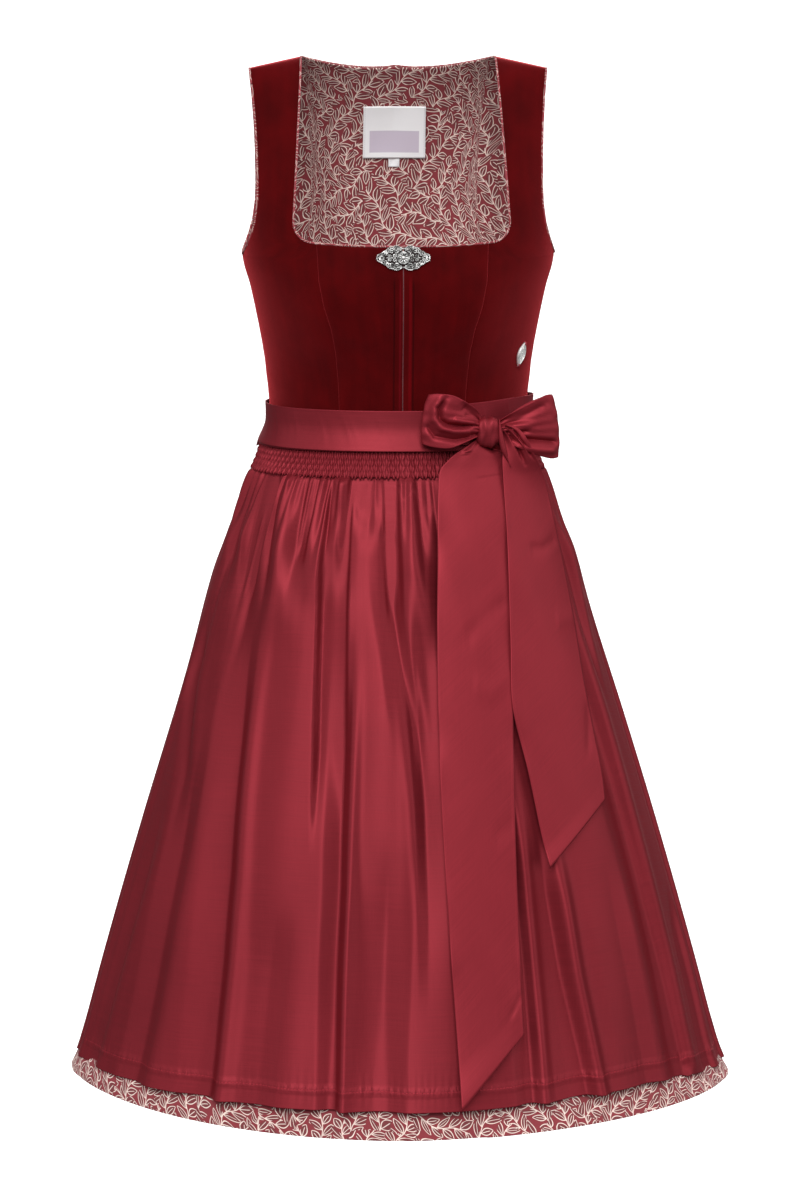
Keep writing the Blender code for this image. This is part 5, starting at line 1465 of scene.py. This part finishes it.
def clasp_half(edge, side):
    """The wires of one half: its rim with beads, scrolls with a bead at their tip, and petals."""

    def lay(points, flip=1):
        return on_bodice_front(points * (side * CLASP_SIZE[0], flip * CLASP_SIZE[1], 1.0))

    def lay_bead(flip, *shape):
        points, faces = capped(bead(*shape))
        return lay(points, flip), faces

    rim = smoothed(evenly(np.column_stack([edge, np.full(len(edge), CLASP_FACE)]), 0.0007), 2)
    parts = [tube(lay(rim), WIRE * 1.3, 6)]
    for x, y, _ in evenly(rim, 0.0017):
        parts.append(lay_bead(1, x * 1.02, y * 1.03, CLASP_FACE + 0.0001, 0.00062))
    for x, y, radius, start, turns in CLASP_SCROLLS:
        path = scroll_path(x / 1000, y / 1000, radius / 1000, start, turns, CLASP_FACE + 0.0002)
        for flip in (1, -1):
            parts.append(tube(lay(path, flip), WIRE * np.linspace(1.25, 0.75, len(path)), 6))
            parts.append(lay_bead(flip, *path[-1], 0.00062))
    for x, y, turn, radius in CLASP_PETALS:
        for flip in (1, -1) if y else (1,):
            shape = (CLASP_FACE + 0.0003, 0.85 * radius / 1000, (1.25, 0.5, 0.6), math.radians(turn))
            parts.append(lay_bead(flip, x / 1000, y / 1000, *shape))
    return parts


def make_clasp():
    """Two halves of wires on near-black plates, the velvet behind the openwork painted darker as its shade,
    and a rosette of two rings, petals and beads.
    """
    edge = np.vstack([CLASP_EDGE, CLASP_EDGE[-2::-1] * (1, -1)])
    for side, word in SIDES:
        base = clasp_plate(edge * CLASP_SIZE * (side, 1.0), (side * 0.0115, 0.0), 0.0007)
        solid_piece(f"clasp_{word}_plate", [base], "clasp openwork shade", [f"clasp_{word}"])
        solid_piece(f"clasp_{word}_scrolls", clasp_half(edge, side), "antique silver")
    disc = clasp_plate(ring_line(0.006, 0.0)[:, :2], (0.0, 0.0), 0.0017)
    solid_piece("clasp_boss_plate", [disc], "clasp openwork shade", ["clasp_boss"])
    parts = []
    for radius, thick, rise in ((0.0054, 0.0005, 0.0016), (0.0044, 0.00042, 0.0024)):
        parts.append(tube(on_bodice_front(ring_line(radius, rise)), thick, 6, closed=True))
    for count, reach, size, start, rise, stretch in (
        (10, 0.0034, 0.0013, 0.0, 0.003, (1.25, 0.6, 0.7)),
        (16, 0.0054, 0.00062, 0.2, 0.0019, (1.0, 1.0, 0.8)),
        (1, 0.0, 0.0018, 0.0, 0.0034, (1.0, 1.0, 0.8)),
    ):
        for at in start + round_turn(count):
            rings = bead(reach * math.cos(at), reach * math.sin(at), rise, size, stretch, at)
            parts.append(capped(on_bodice_front(rings)))
    solid_piece("clasp_rosette", parts, "antique silver")


# Tag and labels
def on_tag(flat):
    """Points given across, up and out from the tag's middle, turned by its tilt."""
    row = row_at(TAG_HEIGHT)
    outward = form_normal(row, TAG_ANGLE)
    across = unit(np.cross([0.0, 0.0, 1.0], outward))
    up = np.cross(outward, across)
    cos, sin = math.cos(math.radians(-TAG_TILT)), math.sin(math.radians(-TAG_TILT))
    axes = np.stack([across * cos + up * sin, up * cos - across * sin, outward])
    return form_point(row, TAG_ANGLE) + outward * 0.0018 + np.asarray(flat, float) @ axes


def make_tag():
    """A raised rim on the lens-shaped tag, an inner line, small dots along its middle, and threads
    at its ends."""
    share = np.linspace(-1, 1, 30)[:-1]
    wide, tall = TAG_WIDTH / 2 - 0.0007, TAG_LENGTH / 2 - 0.0009
    half = np.stack([wide * (1 - share**2), tall * share, 0 * share], -1)
    outline = np.vstack([half, half * (-1, -1, 1)])
    inner = outline * (0.62, 0.7, 1.0)
    parts = [tube(on_tag(outline), 0.0005, 6, closed=True), tube(on_tag(inner), 0.00028, 6, closed=True)]
    for y in np.linspace(-0.0054, 0.0054, 7):
        parts.append(capped(on_tag(bead(0.0, y, 0.0001, 0.00055))))
    solid_piece("metal_tag_rim", parts, "bright silver")
    tag = frame["nodes"]["metal_tag"].data
    tag.materials.clear()
    tag.materials.append(finish("bright silver"))
    threads = []
    for end in (1, -1):
        for shift in (-0.0007, 0.0, 0.0007):
            y = TAG_LENGTH / 2 - 0.0006
            path = metres((shift, -2.0, -0.4), (shift, -1.2, 0.9), (shift, 0.4, 0.8), (shift, 1.6, -1.3))
            path[:, 0] = shift * np.array([1, 1, 1, 1.3])
            path[:, 1] = end * (y + path[:, 1])
            threads.append(tube(on_tag(evenly(path, 0.0003)), 0.00022, 6))
    solid_piece("metal_tag_threads", threads, "wine thread")


def make_labels():
    """Flat patches that stand off the lining at centre back, between two heights."""
    foot = LABEL_TOP - LABEL_DEPTH
    for node, width, top, low, stand, columns, rows, wall, finish_name in (
        ("neck_label", LABEL_WIDTH, LABEL_TOP, foot, 0.0024, 40, 34, 0.0007, "woven label"),
        (
            "size_tab", SIZE_TAB_WIDTH, foot + 0.0014, foot - SIZE_TAB_DEPTH, 0.0014, 12, 12, 0.0006,
            "plain label",
        ),
    ):
        u, v = grid(columns, rows)
        x = between(width / 2, -width / 2, u)
        height = level_for(between(low, top, v), x)
        lift = -LINING_INSET - stand - 0.0006 * np.sin(np.pi * v) * np.sin(2 * np.pi * u + 0.6)
        points = on_form(height, angle_at(height, x, True) % 360, lift)
        cloth(f"{node}_woven", node, points, wall, [finish_name], "label", ["bodice_back_lining"], "laid")


# Studio
def make_floor(glow):
    """A profile turned round the middle: level, then curving up far away."""
    look = Look("studio floor", 0.9, Emission_Color=(1.0, 1.0, 1.0), Emission_Strength=glow)
    look.finish(look.shades(look.noise(look.place(), 30.0), 0.3, 0.7, (1.0, 1.0, 1.0), 0.9, 0.92))
    reach, rise = np.array(FLOOR_PROFILE).T[..., None]
    turn = round_turn(FLOOR_SIDES)[None, :]
    height = rise + 0 * turn + SKIRT_HEM - FLOOR_DROP
    rings = np.stack([reach * np.cos(turn), reach * np.sin(turn), height], -1).reshape(-1, 3)
    faces = grid_faces(len(FLOOR_PROFILE), FLOOR_SIDES, across=True)
    floor = add_object("studio_floor", fill_mesh("studio_floor", rings, faces))
    floor.data.materials.append(look.made)
    floor.visible_diffuse = floor.visible_glossy = floor.visible_shadow = False


def make_studio():
    studio, scene = bpy.context.scene.dirndl_studio, bpy.context.scene
    make_floor(studio.floor_glow)
    scene.world = bpy.data.worlds.new("studio")
    scene.world.use_nodes = True
    light = scene.world.node_tree.nodes["Background"].inputs
    light["Color"].default_value, light["Strength"].default_value = (1.0, 1.0, 1.0, 1.0), studio.ambient
    for name, turn, rise, strength, width in (
        ("key", studio.key_turn, 36.0, studio.key, 40.0),
        ("fill", math.radians(72.0), 30.0, studio.fill, 60.0),
        ("second_fill", math.radians(-68.0), 30.0, studio.fill * 0.7, 60.0),
        ("back", math.radians(172.0), 36.0, studio.back, 50.0),
    ):
        lamp = bpy.data.lights.new(name, "SUN")
        lamp.energy, lamp.angle = strength, math.radians(width)
        holder = add_object(name, lamp)
        level = math.cos(math.radians(rise))
        toward = Vector((math.sin(turn) * level, -math.cos(turn) * level, math.sin(math.radians(rise))))
        holder.location = toward * 4
        holder.rotation_euler = toward.to_track_quat("Z", "Y").to_euler()
    camera = bpy.data.cameras.new("camera")
    camera.sensor_fit, camera.sensor_height, camera.clip_end = "VERTICAL", SENSOR, 200.0
    camera.lens = FOCAL_PIXELS * SENSOR / PICTURE_HEIGHT
    camera.shift_x = SHIFT_PIXELS / PICTURE_HEIGHT
    scene.camera = add_object("camera", camera)
    yaw = math.radians(CAMERA_YAW)
    place = Vector((-math.sin(yaw) * CAMERA_DISTANCE, -math.cos(yaw) * CAMERA_DISTANCE, CAMERA_HEIGHT))
    scene.camera.location = place
    ahead = Vector((0.0, 0.0, CAMERA_AIM)) - place
    scene.camera.rotation_euler = ahead.to_track_quat("-Z", "Y").to_euler()
    scene.view_settings.view_transform = "Standard"


# Add-on
def colour(name, description, default):
    return FloatVectorProperty(
        name=name, description=description, default=default, min=0, max=1, size=3, subtype="COLOR"
    )


def amount(name, description, default, **more):
    return FloatProperty(name=name, description=description, default=default, min=0, **more)


def length(name, description, default):
    return amount(name, description, default, unit="LENGTH", precision=4)


class DirndlColours(bpy.types.PropertyGroup):
    velvet: colour("Velvet", "Colour of the bodice's pile", (0.053, 0.0004, 0.0007))
    satin: colour("Satin", "Colour of the apron and ribbons", (0.205, 0.0165, 0.0245))
    print_ground: colour("Print ground", "Ground of the leaf print", (0.255, 0.036, 0.046))
    print_leaf: colour("Print leaf", "Inside of the printed leaves", (0.19, 0.04, 0.045))
    print_line: colour("Print line", "Drawn lines of the print", (1.0, 0.84, 0.75))
    silver: colour("Silver", "Rubbed parts of the clasp", (0.94, 0.94, 0.92))


class DirndlSizes(bpy.types.PropertyGroup):
    velvet_wall: length("Velvet", "Thickness of the velvet", 0.0014)
    print_wall: length("Printed cotton", "Thickness of the skirt and the lining", 0.001)
    satin_wall: length("Satin", "Thickness of the apron", 0.001)
    ribbon_wall: length("Ribbons", "Thickness of the band, the ties and the bow", 0.0008)
    piping_radius: length("Piping", "Radius of the cord along the neckline and armholes", 0.001)
    apron_hem: length("Apron hem", "Height of the hem's stitches above its edge", 0.0185)
    ribbon_hem: length("Ribbon hem", "Distance of a ribbon's stitches from its edge", 0.003)


class DirndlStudio(bpy.types.PropertyGroup):
    ambient: amount("Ambient", "Brightness of the surroundings", 0.2)
    floor_glow: amount("Floor glow", "Light given by the floor itself", 0.35)
    key: amount("Key light", "Strength of the front light", 2.75)
    key_turn: FloatProperty(
        name="Key side", description="Turn of the front light round the dress", default=math.radians(-8.0),
        subtype="ANGLE",
    )
    fill: amount("Fill light", "Strength of the lights from the front sides", 1.3)
    back: amount("Back light", "Strength of the light from behind", 1.9)


class DirndlStep(bpy.types.Operator):
    """One step of the dirndl"""

    bl_options = {"REGISTER", "UNDO"}

    def execute(self, context):
        before = len(bpy.data.objects)
        self.make()
        if len(bpy.data.objects) == before:
            raise RuntimeError(f"{self.bl_label} made nothing")
        return {"FINISHED"}


class DIRNDL_OT_bodice(DirndlStep):
    """Makes the velvet panels and the printed back lining"""

    bl_idname, bl_label = "dirndl.bodice", "Bodice"
    make = staticmethod(make_bodice)


class DIRNDL_OT_zip(DirndlStep):
    """Makes the zip's tape and coil behind the front slit"""

    bl_idname, bl_label = "dirndl.zip", "Zip"
    make = staticmethod(make_zip)


class DIRNDL_OT_piping(DirndlStep):
    """Makes the corded edges of the neckline and armholes"""

    bl_idname, bl_label = "dirndl.piping", "Piping"
    make = staticmethod(make_piping)


class DIRNDL_OT_skirt(DirndlStep):
    """Makes the printed skirt, front and gathered back"""

    bl_idname, bl_label = "dirndl.skirt", "Skirt"
    make = staticmethod(make_skirt)


class DIRNDL_OT_apron(DirndlStep):
    """Makes the satin apron with its smocking, waistband and ties"""

    bl_idname, bl_label = "dirndl.apron", "Apron"
    make = staticmethod(make_apron)


class DIRNDL_OT_bow(DirndlStep):
    """Makes the bow's loops, knot and tails"""

    bl_idname, bl_label = "dirndl.bow", "Bow"
    make = staticmethod(make_bow)


class DIRNDL_OT_clasp(DirndlStep):
    """Makes the filigree clasp's scrolls, petals and rosette"""

    bl_idname, bl_label = "dirndl.clasp", "Clasp"
    make = staticmethod(make_clasp)


class DIRNDL_OT_tag(DirndlStep):
    """Makes the metal tag's rim and sewing"""

    bl_idname, bl_label = "dirndl.tag", "Tag"
    make = staticmethod(make_tag)


class DIRNDL_OT_labels(DirndlStep):
    """Makes the bare neck label and size tab"""

    bl_idname, bl_label = "dirndl.labels", "Labels"
    make = staticmethod(make_labels)


class DIRNDL_OT_studio(DirndlStep):
    """Makes the floor, the lights and the camera"""

    bl_idname, bl_label = "dirndl.studio", "Studio"
    make = staticmethod(make_studio)


STEPS = (
    DIRNDL_OT_bodice, DIRNDL_OT_zip, DIRNDL_OT_piping, DIRNDL_OT_skirt, DIRNDL_OT_apron,
    DIRNDL_OT_bow, DIRNDL_OT_clasp, DIRNDL_OT_tag, DIRNDL_OT_labels, DIRNDL_OT_studio,
)
GROUPS = {"dirndl_colours": DirndlColours, "dirndl_sizes": DirndlSizes, "dirndl_studio": DirndlStudio}


class DIRNDL_PT_panel(bpy.types.Panel):
    """Lists the dirndl's colours, sizes and steps"""

    bl_label = "Dirndl"
    bl_space_type, bl_region_type, bl_category = "VIEW_3D", "UI", "Dirndl"

    def draw(self, context):
        for group, kind in GROUPS.items():
            for name in kind.__annotations__:
                self.layout.prop(getattr(context.scene, group), name)
        for step in STEPS:
            self.layout.operator(step.bl_idname)


CLASSES = (*GROUPS.values(), *STEPS, DIRNDL_PT_panel)


def register():
    for kind in CLASSES:
        bpy.utils.register_class(kind)
    for group, kind in GROUPS.items():
        setattr(bpy.types.Scene, group, PointerProperty(type=kind))


def unregister():
    for group in GROUPS:
        delattr(bpy.types.Scene, group)
    for kind in reversed(CLASSES):
        bpy.utils.unregister_class(kind)


def main():
    register()
    for step in STEPS:
        group, name = step.bl_idname.split(".")
        getattr(getattr(bpy.ops, group), name)()


if __name__ == "__main__":
    main()
